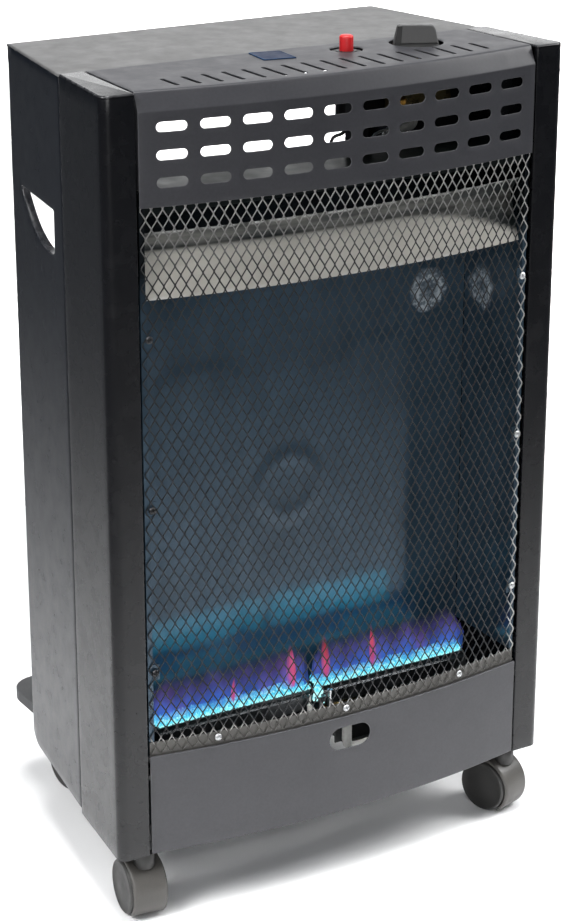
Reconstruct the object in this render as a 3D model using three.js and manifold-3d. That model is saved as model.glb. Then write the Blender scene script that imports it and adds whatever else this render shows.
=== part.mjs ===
// Portable cabinet heater on castors, bow-fronted, with a blue-flame burner
// behind an expanded-metal guard.  Millimetres, +Z up, front faces -Y.
// Y = 0 of the construction is the front plane of the corner posts and Z = 0 the
// lower edge of the cabinet; the finished group is lifted onto its wheels and
// centred at the end.
import * as THREE from 'three';
import { mergeVertices } from 'three/addons/utils/BufferGeometryUtils.js';
import Module from 'manifold-3d';

const wasm = await Module();
wasm.setup();

// ---------------------------------------------------------------- dimensions
const LIFT = 64;              // cabinet lower edge above the floor
const Y_CENTRE = -155.4;      // moves the middle of the overall depth to Y = 0
const BODY_H = 661.5;         // hood top above the cabinet lower edge
const COVER_H = 660;          // rear cover top above the cabinet lower edge
const GAP = 0.3;              // clearance between touching pieces

const FRONT_HALF = 220.75;    // outer half width at the front of the posts
const FRONT_IN = 191.35;      // inner half width at the front of the posts
const CREASE_Y = 99.1;        // depth of the posts
const CREASE_HALF = 208.25;   // outer half width at the back of the posts
const CREASE_IN = 186.15;     // inner half width at the back of the posts
const REAR_Y = 246.1;         // back edge of the side panels
const REAR_HALF = 184.85;     // outer half width at the back edge
const POST_R = 8;             // rounded front outer corner of a post
const POST_T = 1.3;           // post wall
const SHEET = 1.0;            // panel sheet

const BOW_R = 995;            // radius of the bowed front, about a vertical axis
const BOW_Y = 976.5;          // depth of that axis behind the front plane
const BOW_SEG = 440;          // facets round the full circle

const HOOD_LOW = 570;         // hood lower edge
const HOOD_CREASE = 646;      // where the hood face turns into the slanted strip
const HOOD_SET = 7;           // set-back of the hood top edge
const HOOD_LIP = 633;         // lower edge of the hood's rear flange
const SIDE_GAP = 1.8;         // shadow gap between hood, panel and posts
const OVAL_PITCH = 36.1, OVAL_L = 25.6, OVAL_H = 8;
const OVAL_ROWS = [633.6, 611.3, 589.4];
const SLOT_PITCH = 18.5, SLOT_N = 17, SLOT_W = 2.6, SLOT_REAR = 38, SLOT_FRONT_R = 975;

const KNOB_X = 112.7, KNOB_Y = 66.6, KNOB_HOLE_R = 23.35;
const BUTTON_X = 44.8, BUTTON_Y = 70, BUTTON_HOLE_R = 14;

const LOWER_TOP = 93.3;       // lower panel front face height
const LEDGE_TOP = 105;        // its set-back flange that carries the guard
const WINDOW = { x: -0.5, z: 72.3, l: 42, h: 21 };

const GUARD_LOW = 94.6, GUARD_TOP = 584, GUARD_OUT = 993.4, GUARD_IN = 992.2;
const GUARD_SCREWS = {
  bottom: [-128.8, -4.5, 120.9], bottomZ: 100.6,
  sideX: 183.6, sideZ: [170, 316, 462],
};

const BOX_HALF = 184.2;       // half width inside the combustion chamber
const LUG_IN = 178.6, LUG_H = 7;   // lugs that carry the guard's side screws
const BOX_BACK = 88;          // front face of its back wall
const ROOF = 575;             // chamber roof

const TRAY_Z = 25, TRAY_REAR = 330, TRAY_HALF = 172;

const WHEEL_R = 24.5, WHEEL_IN = 4.2, WHEEL_OUT = 17.5, HOODC_R = 28, TRAIL = 12;
const CASTORS = [
  ['front_left', -191, 13, -7], ['front_right', 191, 13, 18],
  ['rear_left', -128, 250, 12], ['rear_right', 128, 250, -20],
];

// ------------------------------------------------------------------- helpers
const D = Math.PI / 180;
function solid(geometry) {
  const g = geometry.clone();
  g.deleteAttribute('normal');
  g.deleteAttribute('uv');
  const m = mergeVertices(g, 1e-4);
  const s = new wasm.Manifold(new wasm.Mesh({
    numProp: 3,
    vertProperties: new Float32Array(m.attributes.position.array),
    triVerts: new Uint32Array(m.index.array),
  }));
  if (s.volume() <= 0) throw new Error('a shape is inside out');
  return s;
}
function geometry(s) {
  const m = s.getMesh();
  const g = new THREE.BufferGeometry();
  g.setAttribute('position', new THREE.BufferAttribute(new Float32Array(m.vertProperties), 3));
  g.setIndex(new THREE.BufferAttribute(new Uint32Array(m.triVerts), 1));
  return g;
}
// upright prism from a plan outline
function prism(points, z0, z1, seg = 6) {
  const s = points instanceof THREE.Shape ? points : new THREE.Shape(points.map((p) => new THREE.Vector2(p[0], p[1])));
  const g = new THREE.ExtrudeGeometry(s, { depth: z1 - z0, bevelEnabled: false, curveSegments: seg });
  g.translate(0, 0, z0);
  return solid(g);
}
// prism along +Y from an X-Z outline
function slab(points, y0, y1, seg = 6) {
  const s = points instanceof THREE.Shape ? points : new THREE.Shape(points.map((p) => new THREE.Vector2(p[0], p[1])));
  const g = new THREE.ExtrudeGeometry(s, { depth: y1 - y0, bevelEnabled: false, curveSegments: seg });
  g.rotateX(90 * D);
  g.translate(0, y1, 0);
  return solid(g);
}
function box(x0, x1, y0, y1, z0, z1) {
  const g = new THREE.BoxGeometry(x1 - x0, y1 - y0, z1 - z0);
  g.translate((x0 + x1) / 2, (y0 + y1) / 2, (z0 + z1) / 2);
  return solid(g);
}
function rod(x, y, z0, z1, r, seg = 20, r2 = r) {
  const g = new THREE.CylinderGeometry(r2, r, z1 - z0, seg);
  g.rotateX(90 * D);
  g.translate(x, y, (z0 + z1) / 2);
  return solid(g);
}
function rodX(x0, x1, y, z, r, seg = 16, r2 = r) {
  const g = new THREE.CylinderGeometry(r2, r, x1 - x0, seg);
  g.rotateZ(-90 * D);
  g.translate((x0 + x1) / 2, y, z);
  return solid(g);
}
function rodY(y0, y1, x, z, r, seg = 16, r2 = r) {
  const g = new THREE.CylinderGeometry(r2, r, y1 - y0, seg);
  g.translate(x, (y0 + y1) / 2, z);
  return solid(g);
}
function turned(profile, seg = 20) {
  const g = new THREE.LatheGeometry(profile.map((p) => new THREE.Vector2(p[0], p[1])), seg);
  g.rotateX(90 * D);
  return g;
}
// ring about the bow axis from a closed (radius, height) outline
function ring(profile) {
  const area = profile.reduce((a, p, i) => a + p[0] * profile[(i + 1) % profile.length][1] - p[1] * profile[(i + 1) % profile.length][0], 0);
  const run = area > 0 ? profile : [...profile].reverse();
  const pts = [...run, run[0]].map((p) => new THREE.Vector2(p[0], p[1]));
  const g = new THREE.LatheGeometry(pts, BOW_SEG);
  g.rotateX(90 * D);
  g.translate(0, BOW_Y, 0);
  return solid(g);
}
function stadium(x, z, l, h, k = 4) {
  const s = new THREE.Shape();
  const r = h / 2, a = l / 2 - r;
  for (let i = 0; i <= k; i++) {
    const t = (-90 + 180 * i / k) * D;
    const f = i ? 'lineTo' : 'moveTo';
    s[f](x + a + r * Math.cos(t), z + r * Math.sin(t));
  }
  for (let i = 0; i <= k; i++) {
    const t = (90 + 180 * i / k) * D;
    s.lineTo(x - a + r * Math.cos(t), z + r * Math.sin(t));
  }
  return s;
}
// rigid pipe through corner points, bent with short arcs
class Bends extends THREE.Curve {
  constructor(stations) { super(); this.s = stations; }
  getPoint(t, out = new THREE.Vector3()) {
    const n = this.s.length - 1, f = Math.min(Math.max(t, 0), 1) * n;
    const i = Math.min(Math.floor(f), n - 1);
    return out.copy(this.s[i]).lerp(this.s[i + 1], f - i);
  }
  getPointAt(u, out) { return this.getPoint(u, out); }
  getTangentAt(u, out = new THREE.Vector3()) {
    const n = this.s.length - 1, i = Math.round(u * n);
    const a = this.s[Math.max(i - 1, 0)], b = this.s[Math.min(i + 1, n)];
    return out.copy(b).sub(a).normalize();
  }
}
function pipe(corners, r, bend = 10, sides = 8, k = 4) {
  const c = corners.map((p) => new THREE.Vector3(...p));
  const st = [c[0]];
  for (let i = 1; i < c.length - 1; i++) {
    const a = c[i - 1], b = c[i], d = c[i + 1];
    const la = Math.min(bend, a.distanceTo(b) * 0.45), lb = Math.min(bend, d.distanceTo(b) * 0.45);
    const p = b.clone().lerp(a, la / a.distanceTo(b)), q = b.clone().lerp(d, lb / b.distanceTo(d));
    for (let j = 0; j <= k; j++) {
      const t = j / k;
      st.push(p.clone().multiplyScalar((1 - t) * (1 - t)).add(b.clone().multiplyScalar(2 * t * (1 - t))).add(q.clone().multiplyScalar(t * t)));
    }
  }
  st.push(c[c.length - 1]);
  const sec = new THREE.Shape();
  for (let i = 0; i < sides; i++) {
    const t = (i + 0.5) / sides * 2 * Math.PI;
    sec[i ? 'lineTo' : 'moveTo'](r * Math.cos(t), r * Math.sin(t));
  }
  const g = new THREE.ExtrudeGeometry(sec, { steps: st.length - 1, extrudePath: new Bends(st), bevelEnabled: false });
  return solid(g);
}
function spun(s, deg) { return s.rotate([0, 0, deg]); }
const bowAngle = (x) => Math.asin(x / BOW_R) / D;

// ----------------------------------------------------------------- materials
const std = (color, roughness, metalness) => new THREE.MeshStandardMaterial({ color, roughness, metalness });
const M = {
  paint: std(0x4a4b50, 0.5, 0.25),
  paintLight: std(0x5c5c61, 0.5, 0.25),
  chamber: std(0x2b333b, 0.32, 0.8),
  black: std(0x17181a, 0.6, 0.3),
  deflector: std(0x8d887e, 0.4, 0.85),
  guard: std(0x55534f, 0.45, 0.8),
  zinc: std(0xb5b7b8, 0.35, 0.9),
  brass: std(0xb8924a, 0.35, 0.95),
  burner: std(0x6d7072, 0.4, 0.9),
  plastic: std(0x46433f, 0.55, 0.0),
  wheel: std(0x343230, 0.6, 0.0),
  knob: std(0x6b6968, 0.45, 0.0),
  red: std(0xb3232a, 0.4, 0.0),
  ceramic: std(0xe6e2d8, 0.5, 0.0),
  rubber: std(0x1c1c1d, 0.8, 0.0),
};
const group = new THREE.Group();
const body = new THREE.Group();
group.add(body);
function add(name, shape, material, parent = body) {
  const g = shape instanceof THREE.BufferGeometry ? shape : geometry(shape);
  const m = new THREE.Mesh(g, material);
  m.name = name;
  parent.add(m);
  return m;
}
const mirror = (s) => s.mirror([1, 0, 0]);

// --------------------------------------------------------------- corner posts
{
  // right-hand post, then mirrored
  const inAt = (y) => FRONT_IN + (CREASE_IN - FRONT_IN) * y / CREASE_Y;
  const plan = new THREE.Shape();
  plan.moveTo(inAt(0), 0);
  plan.lineTo(FRONT_HALF - POST_R, 0);
  for (let i = 1; i <= 5; i++) {
    const t = (-90 + 88 * i / 5) * D;
    plan.lineTo(FRONT_HALF - POST_R + POST_R * Math.cos(t), POST_R + POST_R * Math.sin(t));
  }
  plan.lineTo(CREASE_HALF, CREASE_Y);
  plan.lineTo(CREASE_IN, CREASE_Y);
  const outer = prism(plan, 0, BODY_H);
  const hollow = new THREE.Shape();
  hollow.moveTo(inAt(0) - 12, 4.6);
  hollow.lineTo(inAt(0) + 2.4, 4.6);
  hollow.lineTo(inAt(0) + 2.4, POST_T);
  hollow.lineTo(FRONT_HALF - POST_R, POST_T);
  for (let i = 1; i <= 5; i++) {
    const t = (-90 + 88 * i / 5) * D, r = POST_R - POST_T;
    hollow.lineTo(FRONT_HALF - POST_R + r * Math.cos(t), POST_R + r * Math.sin(t));
  }
  hollow.lineTo(CREASE_HALF - POST_T, CREASE_Y - POST_T);
  hollow.lineTo(CREASE_IN + 1, CREASE_Y - POST_T);
  hollow.lineTo(CREASE_IN - 12, CREASE_Y - POST_T);
  const post = outer.subtract(prism(hollow, -5, BODY_H - POST_T));
  add('corner_post_right', post, M.paint);
  add('corner_post_left', mirror(post), M.paint);
}

// ---------------------------------------------------------------- side panels
{
  const len = Math.hypot(REAR_Y - CREASE_Y, CREASE_HALF - REAR_HALF);
  const z0 = 5, z1 = COVER_H - SHEET - GAP, r = 20;
  const s = new THREE.Shape();
  s.moveTo(0.4, z0);
  s.lineTo(len - r, z0);
  for (let i = 1; i <= 6; i++) {
    const t = (-90 + 90 * i / 6) * D;
    s.lineTo(len - r + r * Math.cos(t), z0 + r + r * Math.sin(t));
  }
  s.lineTo(len, z1);
  s.lineTo(0.4, z1);
  // hand hole: straight top and front, swept lower edge
  const hole = (o) => {
    const h = new THREE.Shape();
    h.moveTo(27 - o, 543 + o);
    h.lineTo(27 - o, 511);
    h.quadraticCurveTo(27 - o, 504 - o, 40, 504 - o);
    h.quadraticCurveTo(78, 505.5 - o, 104 + o * 0.4, 526 - o);
    h.quadraticCurveTo(117 + o, 536, 120 + o, 543 + o);
    return h;
  };
  const up = (g) => { g.rotateX(90 * D); return g; };
  const ext = (shape, t0, t1, seg) => {
    const g = new THREE.ExtrudeGeometry(shape, { depth: t1 - t0, bevelEnabled: false, curveSegments: seg });
    up(g);
    g.translate(0, -t0, 0);      // outer face at y = 0, thickness towards -y
    return solid(g);
  };
  let p = ext(s, 0, SHEET, 6);
  // in this local frame x runs backwards along the panel and -y is outwards
  p = p.translate([0, SHEET, 0]);
  p = p.add(ext(hole(1.4), 0, 7, 6).translate([0, 7, 0]));
  p = p.subtract(ext(hole(0), -2, 12, 6).translate([0, 10, 0]));
  p = p.add(box(len - SHEET, len, 0.2, 13, z0 + r + 6, z1));
  // turn into place: local +x -> from (CREASE_HALF, CREASE_Y) to (REAR_HALF, REAR_Y)
  const ang = Math.atan2(REAR_Y - CREASE_Y, REAR_HALF - CREASE_HALF) / D;
  const right = p.rotate([0, 0, ang]).translate([CREASE_HALF, CREASE_Y, 0]);
  add('side_panel_right', right, M.paintLight);
  add('side_panel_left', mirror(right), M.paintLight);
}

// ------------------------------------------------------------------ rear cover
{
  const y0 = CREASE_Y + 0.4, f = (y) => CREASE_HALF + (REAR_HALF - CREASE_HALF) * (y - CREASE_Y) / (REAR_Y - CREASE_Y);
  const plate = prism([[-f(y0), y0], [f(y0), y0], [f(REAR_Y + 1.5), REAR_Y + 1.5], [-f(REAR_Y + 1.5), REAR_Y + 1.5]], COVER_H - SHEET, COVER_H);
  const w = REAR_HALF - 1;
  let c = plate.add(box(-w, w, REAR_Y + 0.3, REAR_Y + 1.5, COVER_H - 16, COVER_H - 0.5));
  c = c.add(box(-183, 183, y0 + 3, y0 + 4.2, COVER_H - 22, COVER_H - 0.5));
  add('top_cover', c, M.paintLight);
}

// ------------------------------------------------------------------------ hood
const planAt = (y, g) => FRONT_IN + (CREASE_IN - FRONT_IN) * y / CREASE_Y - g;
{
  const R = BOW_R;
  let h = ring([[R, HOOD_LOW], [R, HOOD_CREASE], [R - HOOD_SET, BODY_H], [R - 140, BODY_H], [R - 140, BODY_H - SHEET],
    [R - HOOD_SET - 0.9, BODY_H - SHEET], [R - SHEET, HOOD_CREASE - 0.4], [R - SHEET, HOOD_LOW]]);
  const y1 = CREASE_Y - 0.3;
  h = h.intersect(prism([[-planAt(-25, SIDE_GAP), -25], [planAt(-25, SIDE_GAP), -25], [planAt(y1, SIDE_GAP), y1], [-planAt(y1, SIDE_GAP), y1]], 500, 700));
  h = h.add(box(-183, 183, y1 - SHEET, y1, HOOD_LIP, BODY_H - 0.4));
  // returns bent in at both ends
  const e = prism([[planAt(-5, SIDE_GAP + SHEET), -5], [planAt(-5, SIDE_GAP), -5], [planAt(16, SIDE_GAP), 16], [planAt(16, SIDE_GAP + SHEET), 16]], 500, 700);
  h = h.add(ring([[R - 0.5, 585], [R - 0.5, HOOD_CREASE], [R - HOOD_SET - 0.5, BODY_H - 0.5], [R - 13, BODY_H - 0.5], [R - 13, 585]]).intersect(e.add(mirror(e))));
  const cut = [];
  for (const z of OVAL_ROWS) for (let i = 0; i < 10; i++) cut.push(slab(stadium((i - 4.5) * OVAL_PITCH, z, OVAL_L, OVAL_H), -30, 20));
  for (let i = 0; i < SLOT_N; i++) {
    const x = 0.6 + (i - 8) * SLOT_PITCH;
    const yf = BOW_Y - Math.sqrt(SLOT_FRONT_R ** 2 - x * x), w = SLOT_W / 2;
    cut.push(prism([[x - w, yf], [x - w + 0.8, yf - 1], [x + w - 0.8, yf - 1], [x + w, yf], [x + w, SLOT_REAR], [x + w - 0.8, SLOT_REAR + 1], [x - w + 0.8, SLOT_REAR + 1], [x - w, SLOT_REAR]], 655, 670));
  }
  cut.push(rod(KNOB_X, KNOB_Y, 655, 670, KNOB_HOLE_R, 36));
  cut.push(rod(BUTTON_X, BUTTON_Y, 655, 670, BUTTON_HOLE_R, 28));
  h = h.subtract(wasm.Manifold.union(cut));
  add('front_hood', h, M.paint);
}

// ---------------------------------------------------------------- lower panel
{
  const R = BOW_R;
  let p = ring([[R, 0], [R, LOWER_TOP], [R - 3.4, LOWER_TOP], [R - 3.4, LEDGE_TOP], [R - 4.6, LEDGE_TOP], [R - 4.6, LOWER_TOP - SHEET],
    [R - SHEET, LOWER_TOP - SHEET], [R - SHEET, SHEET], [R - 5, SHEET], [R - 5, 0]]);
  p = p.intersect(prism([[-planAt(-25, 1.5), -25], [planAt(-25, 1.5), -25], [planAt(40, 1.5), 40], [-planAt(40, 1.5), 40]], -10, 200));
  p = p.subtract(slab(stadium(WINDOW.x, WINDOW.z, WINDOW.l, WINDOW.h, 10), -30, 10));
  for (const x of GUARD_SCREWS.bottom) p = p.subtract(spun(rodY(-1000, -980, 0, GUARD_SCREWS.bottomZ, 1.8, 8), bowAngle(x)).translate([0, BOW_Y, 0]));
  add('lower_front_panel', p, M.paintLight);
}

// ------------------------------------------------------ guard and its screws
{
  let g = ring([[GUARD_OUT, GUARD_LOW], [GUARD_OUT, GUARD_TOP], [GUARD_IN, GUARD_TOP], [GUARD_IN, GUARD_LOW]]);
  g = g.intersect(prism([[-planAt(-25, SIDE_GAP), -25], [planAt(-25, SIDE_GAP), -25], [planAt(40, SIDE_GAP), 40], [-planAt(40, SIDE_GAP), 40]], 0, 700));
  const spots = GUARD_SCREWS.bottom.map((x, i) => [`guard_screw_bottom_${i + 1}`, x, GUARD_SCREWS.bottomZ]);
  GUARD_SCREWS.sideZ.forEach((z, i) => {
    spots.push([`guard_screw_left_${i + 1}`, -GUARD_SCREWS.sideX, z]);
    spots.push([`guard_screw_right_${i + 1}`, GUARD_SCREWS.sideX, z]);
  });
  for (const [name, x, z] of spots) {
    g = g.subtract(spun(rodY(-1000, -980, 0, z, 1.8, 8), bowAngle(x)).translate([0, BOW_Y, 0]));
    // dome head outside the guard, shank through the flange behind it
    const s = turned([[0, 0], [1.45, 0], [1.45, 6], [3.3, 6], [2.9, 7.1], [0, 7.9]], 8);
    s.rotateX(90 * D);                       // head now points to -Y
    s.translate(0, -GUARD_OUT - 0.3 + 6, z);
    s.rotateZ(bowAngle(x) * D);
    s.translate(0, BOW_Y, 0);
    add(name, s, M.zinc);
  }
  add('guard_mesh', g, M.guard);
}

// --------------------------------------------------------- combustion chamber
{
  // side wall with the flange that carries the guard screws
  let w = ring([[991.6, 106], [991.6, 584], [990.4, 584], [990.4, 106]]);
  let front = box(BOX_HALF + 0.3, 188.9, -30, 40, 0, 700);
  for (const z of GUARD_SCREWS.sideZ) front = front.add(box(LUG_IN, 188, -30, 40, z - LUG_H, z + LUG_H));
  w = w.intersect(front);
  w = w.add(box(BOX_HALF + 0.3, BOX_HALF + 1.5, 3, 87.4, 106, 584));
  for (const z of GUARD_SCREWS.sideZ) w = w.subtract(spun(rodY(-1000, -980, 0, z, 1.8, 8), bowAngle(GUARD_SCREWS.sideX)).translate([0, BOW_Y, 0]));
  add('chamber_side_right', w, M.chamber);
  add('chamber_side_left', mirror(w), M.chamber);
  // back wall with its pressed panels
  let b = box(-BOX_HALF, BOX_HALF, BOX_BACK, BOX_BACK + SHEET, 60, ROOF - 1);
  const rr = (x0, x1, z0, z1, r) => {
    const s = new THREE.Shape();
    [[x1 - r, z0 + r, -90], [x1 - r, z1 - r, 0], [x0 + r, z1 - r, 90], [x0 + r, z0 + r, 180]].forEach(([cx, cz, a], k) => {
      for (let i = 0; i <= 4; i++) {
        const t = (a + 90 * i / 4) * D;
        s[k + i ? 'lineTo' : 'moveTo'](cx + r * Math.cos(t), cz + r * Math.sin(t));
      }
    });
    return s;
  };
  b = b.add(slab(rr(-132, -48, 130, 400, 18), BOX_BACK - 1.6, BOX_BACK + 0.4));
  b = b.add(slab(rr(48, 132, 130, 400, 18), BOX_BACK - 1.6, BOX_BACK + 0.4));
  b = b.add(rodY(BOX_BACK - 1.6, BOX_BACK + 0.4, 0, 275, 34, 24));
  b = b.subtract(slab(rr(-130, -50, 132, 398, 16), BOX_BACK - 0.6, BOX_BACK + 5));
  b = b.subtract(slab(rr(50, 130, 132, 398, 16), BOX_BACK - 0.6, BOX_BACK + 5));
  b = b.subtract(rodY(BOX_BACK - 0.6, BOX_BACK + 5, 0, 275, 32, 24));
  add('chamber_back', b, M.chamber);
  // roof with its straight front flange
  const r = box(-BOX_HALF, BOX_HALF, 3, BOX_BACK - 0.3, ROOF - SHEET, ROOF).add(box(-BOX_HALF, BOX_HALF, 3, 4.2, ROOF - 13, ROOF));
  add('chamber_roof', r, M.deflector);
  // heat deflector: folded channel below the roof's front flange
  let d = ring([[984.6, 547], [974, 533.4], [986, 492], [987, 492.6], [975.3, 533.2], [985.6, 546.4]].reverse());
  d = d.intersect(box(-BOX_HALF, BOX_HALF, -30, 60, 450, 600));
  add('heat_deflector', d, M.deflector);
  add('chamber_floor', box(-BOX_HALF, BOX_HALF, 61, BOX_BACK + SHEET, 58.4, 59.6), M.black);
  // divider between chamber and bottle compartment
  add('rear_heat_shield', box(-183, 183, CREASE_Y + 0.4, CREASE_Y + 1.6, TRAY_Z + SHEET + 0.3, 555).add(box(-183, 183, CREASE_Y + 0.4, CREASE_Y + 9, 553.8, 555)), M.paintLight);
}

// -------------------------------------------------------------------- base
{
  const half = [[214, 6], [203, 94.5], [183, 94.5], [183, 102.6], [203, 103.4], [181.4, 243], [TRAY_HALF, 252], [TRAY_HALF, TRAY_REAR - 26]];
  const outline = [...half];
  for (let i = 1; i <= 6; i++) {
    const t = 90 * i / 6 * D;
    outline.push([TRAY_HALF - 26 + 26 * Math.cos(t), TRAY_REAR - 26 + 26 * Math.sin(t)]);
  }
  const left = outline.map(([x, y]) => [-x, y]).reverse();
  const all = [...outline, ...left];
  let t = prism(all, TRAY_Z, TRAY_Z + SHEET);
  // rolled-down edge of the part that stands out behind
  const rim = (o) => {
    const q = [[TRAY_HALF - o, 256]];
    for (let i = 0; i <= 6; i++) {
      const a = 90 * i / 6 * D, r = 26 - o;
      q.push([TRAY_HALF - 26 + r * Math.cos(a), TRAY_REAR - 26 + r * Math.sin(a)]);
    }
    return [...q, ...q.map(([x, y]) => [-x, y]).reverse()];
  };
  t = t.add(prism(rim(0), TRAY_Z - 9, TRAY_Z + 0.4).subtract(prism(rim(SHEET), TRAY_Z - 12, TRAY_Z + 0.1).add(box(-200, 200, 250, 257.5, TRAY_Z - 12, TRAY_Z + 0.1))));
  t = t.subtract(box(-150, 38, 30, 87, 0, 60));
  // ventilation slots under the bottle
  for (const x of [-60, -20, 20, 60]) t = t.subtract(prism(stadium(x, 190, 24, 12, 4), 0, 60));
  // castor sockets
  for (const [, x, y] of CASTORS) {
    t = t.add(rod(x, y, 1, TRAY_Z + 0.4, 7.2, 14));
    t = t.subtract(rod(x, y, -2, TRAY_Z - 2, 4.4, 12));
  }
  add('base_tray', t, M.paintLight);
}

// ------------------------------------------------------------------ burners
{
  const Y = 47;
  const one = (x0, x1, m0, m1, leg) => {
    let b = box(x0, x1, Y - 11, Y + 11, 78, 93);
    b = b.add(box(x0 + 1, x1 - 1, Y - 6, Y + 6, 92.5, 96));
    b = b.add(box(leg, leg + 1.5, Y - 9, Y + 9, TRAY_Z + SHEET + 0.3, 80));
    b = b.add(rodX(m0, m1, Y, 69, 7.5, 16));
    b = b.add(box((m0 + m1) / 2 - 8, (m0 + m1) / 2 + 8, Y - 7, Y + 7, 69, 79));
    return b;
  };
  let l = one(-162, -6, -112, 0, -161);
  l = l.subtract(rodX(-100, 2, Y, 69, 6, 16));
  add('burner_left', l, M.burner);
  let r = one(1, 161, 54, 150, 158.5);
  r = r.subtract(rodX(52, 138, Y, 69, 6, 16));
  add('burner_right', r, M.burner);
  // twin injector block
  let m = box(14, 40, 40, 54, 62, 76).add(rodX(4, 15, Y, 69, 3.6, 10, 4)).add(rodX(39, 50, Y, 69, 4, 10, 3.6));
  add('injector_manifold', m, M.brass);
  // its upright bracket on the base
  add('manifold_bracket', box(30, 76, 55.3, 56.8, TRAY_Z + SHEET + 0.3, 76).add(box(40, 76, 56, 70, TRAY_Z + SHEET + 0.3, TRAY_Z + SHEET + 1.8)), M.black);
  // pilot with its small shelf
  let p = rod(-2.5, 30.5, 66, 88, 3.6, 12).add(box(-5.6, 3, 27, 34, 87, 92).subtract(box(-3.6, 5, 28.6, 32.4, 86, 91)));
  p = p.add(box(-18, 14, 26, 35.6, 73, 74.2));
  p = p.subtract(rod(8.5, 30.5, 60, 100, 2.8, 12)).subtract(rod(-12.5, 30.5, 60, 100, 3, 12));
  add('pilot_burner', p, M.burner);
  let tc = rod(8.5, 30.5, 68, 96, 2.4, 10);
  tc = tc.add(pipe([[8.5, 30.5, 68.5], [8.5, 30.5, 42], [14, 66, 39], [80, 66, 39], [86, 94, 50], [86, 94, 580], [96, 72, 589], [96, 72, 599.4]], 1.2, 10, 6, 3));
  add('thermocouple', tc, M.zinc);
  let el = rod(-12.5, 30.5, 66, 86, 2.6, 10).add(rod(-12.5, 30.5, 85, 96, 1, 8));
  add('spark_electrode', el, M.ceramic);
}

// -------------------------------------------------------- valve and igniter
{
  const ZT = 630;
  let br = box(33, 160, 44, 90, ZT, ZT + 1.5);
  br = br.add(box(33, 34.5, 44, 52, ROOF + 0.6, ZT + 1));
  br = br.add(box(57, 184, 88.6, 90, ROOF + 0.6, 660));
  br = br.subtract(box(80, 122, 80, 95, 550, 592));
  br = br.subtract(rod(KNOB_X, KNOB_Y, 620, 640, 9, 20)).subtract(rod(BUTTON_X + 7, BUTTON_Y, 620, 640, 9.5, 20).add(rod(BUTTON_X, BUTTON_Y, 620, 640, 9.5, 20)));
  br = br.subtract(rodY(80, 95, KNOB_X, 614, 9, 16));
  add('valve_bracket', br, M.black);
  let v = box(92, 133, 50, 82, 600, 628);
  v = v.add(rod(KNOB_X, KNOB_Y, 627, 636, 8.4, 20)).add(rodX(132, 144, 66, 614, 8, 14)).add(rodX(84, 93, 62, 612, 6, 12));
  v = v.subtract(rod(KNOB_X, KNOB_Y, 612, 640, 4.6, 16));
  add('gas_valve', v, M.brass);
  const z = rodY(82.4, 94, KNOB_X, 614, 7.6, 6).add(rodY(93, 124, KNOB_X, 614, 4.2, 12)).add(rodY(104, 107, KNOB_X, 614, 4.3, 12, 5.4)).add(rodY(112, 115, KNOB_X, 614, 4.3, 12, 5.4)).add(rodY(120, 123, KNOB_X, 614, 4.3, 12, 5.4))
    .subtract(rodY(96, 130, KNOB_X, 614, 2.6, 10));
  add('hose_nozzle', z, M.brass);
  // igniter housing, collared under the hood
  let ig = rod(BUTTON_X, BUTTON_Y, 604, 660.6, 9, 20).add(rod(BUTTON_X, BUTTON_Y, 655.4, 659.8, 12.6, 24));
  ig = ig.subtract(rod(BUTTON_X, BUTTON_Y, 640, 665, 6.5, 20));
  add('igniter_housing', ig, M.rubber);
  add('ignition_lead', pipe([[BUTTON_X, BUTTON_Y, 603.7], [BUTTON_X, BUTTON_Y, 590], [BUTTON_X, 94, 582], [BUTTON_X, 94, 56], [24, 70, 46], [-12.5, 30.5, 46], [-12.5, 30.5, 65.7]], 1.5, 10, 6, 3), M.rubber);
  add('gas_feed_pipe', pipe([[112, 68, 599.7], [112, 68, 590], [112, 94, 582], [112, 94, 46], [112, 64, 33], [84, 30, 33], [26.6, 30, 33], [26.6, 30, 69], [26.6, 39.7, 69]], 4.5, 9, 8, 3), M.zinc);
  add('pilot_pipe', pipe([[102, 72, 599.7], [102, 72, 590], [99, 94, 582], [99, 94, 46], [96, 72, 31], [10, 66, 31], [-2.5, 30.5, 31], [-2.5, 30.5, 65.7]], 2, 9, 6, 3), M.zinc);
}

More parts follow.
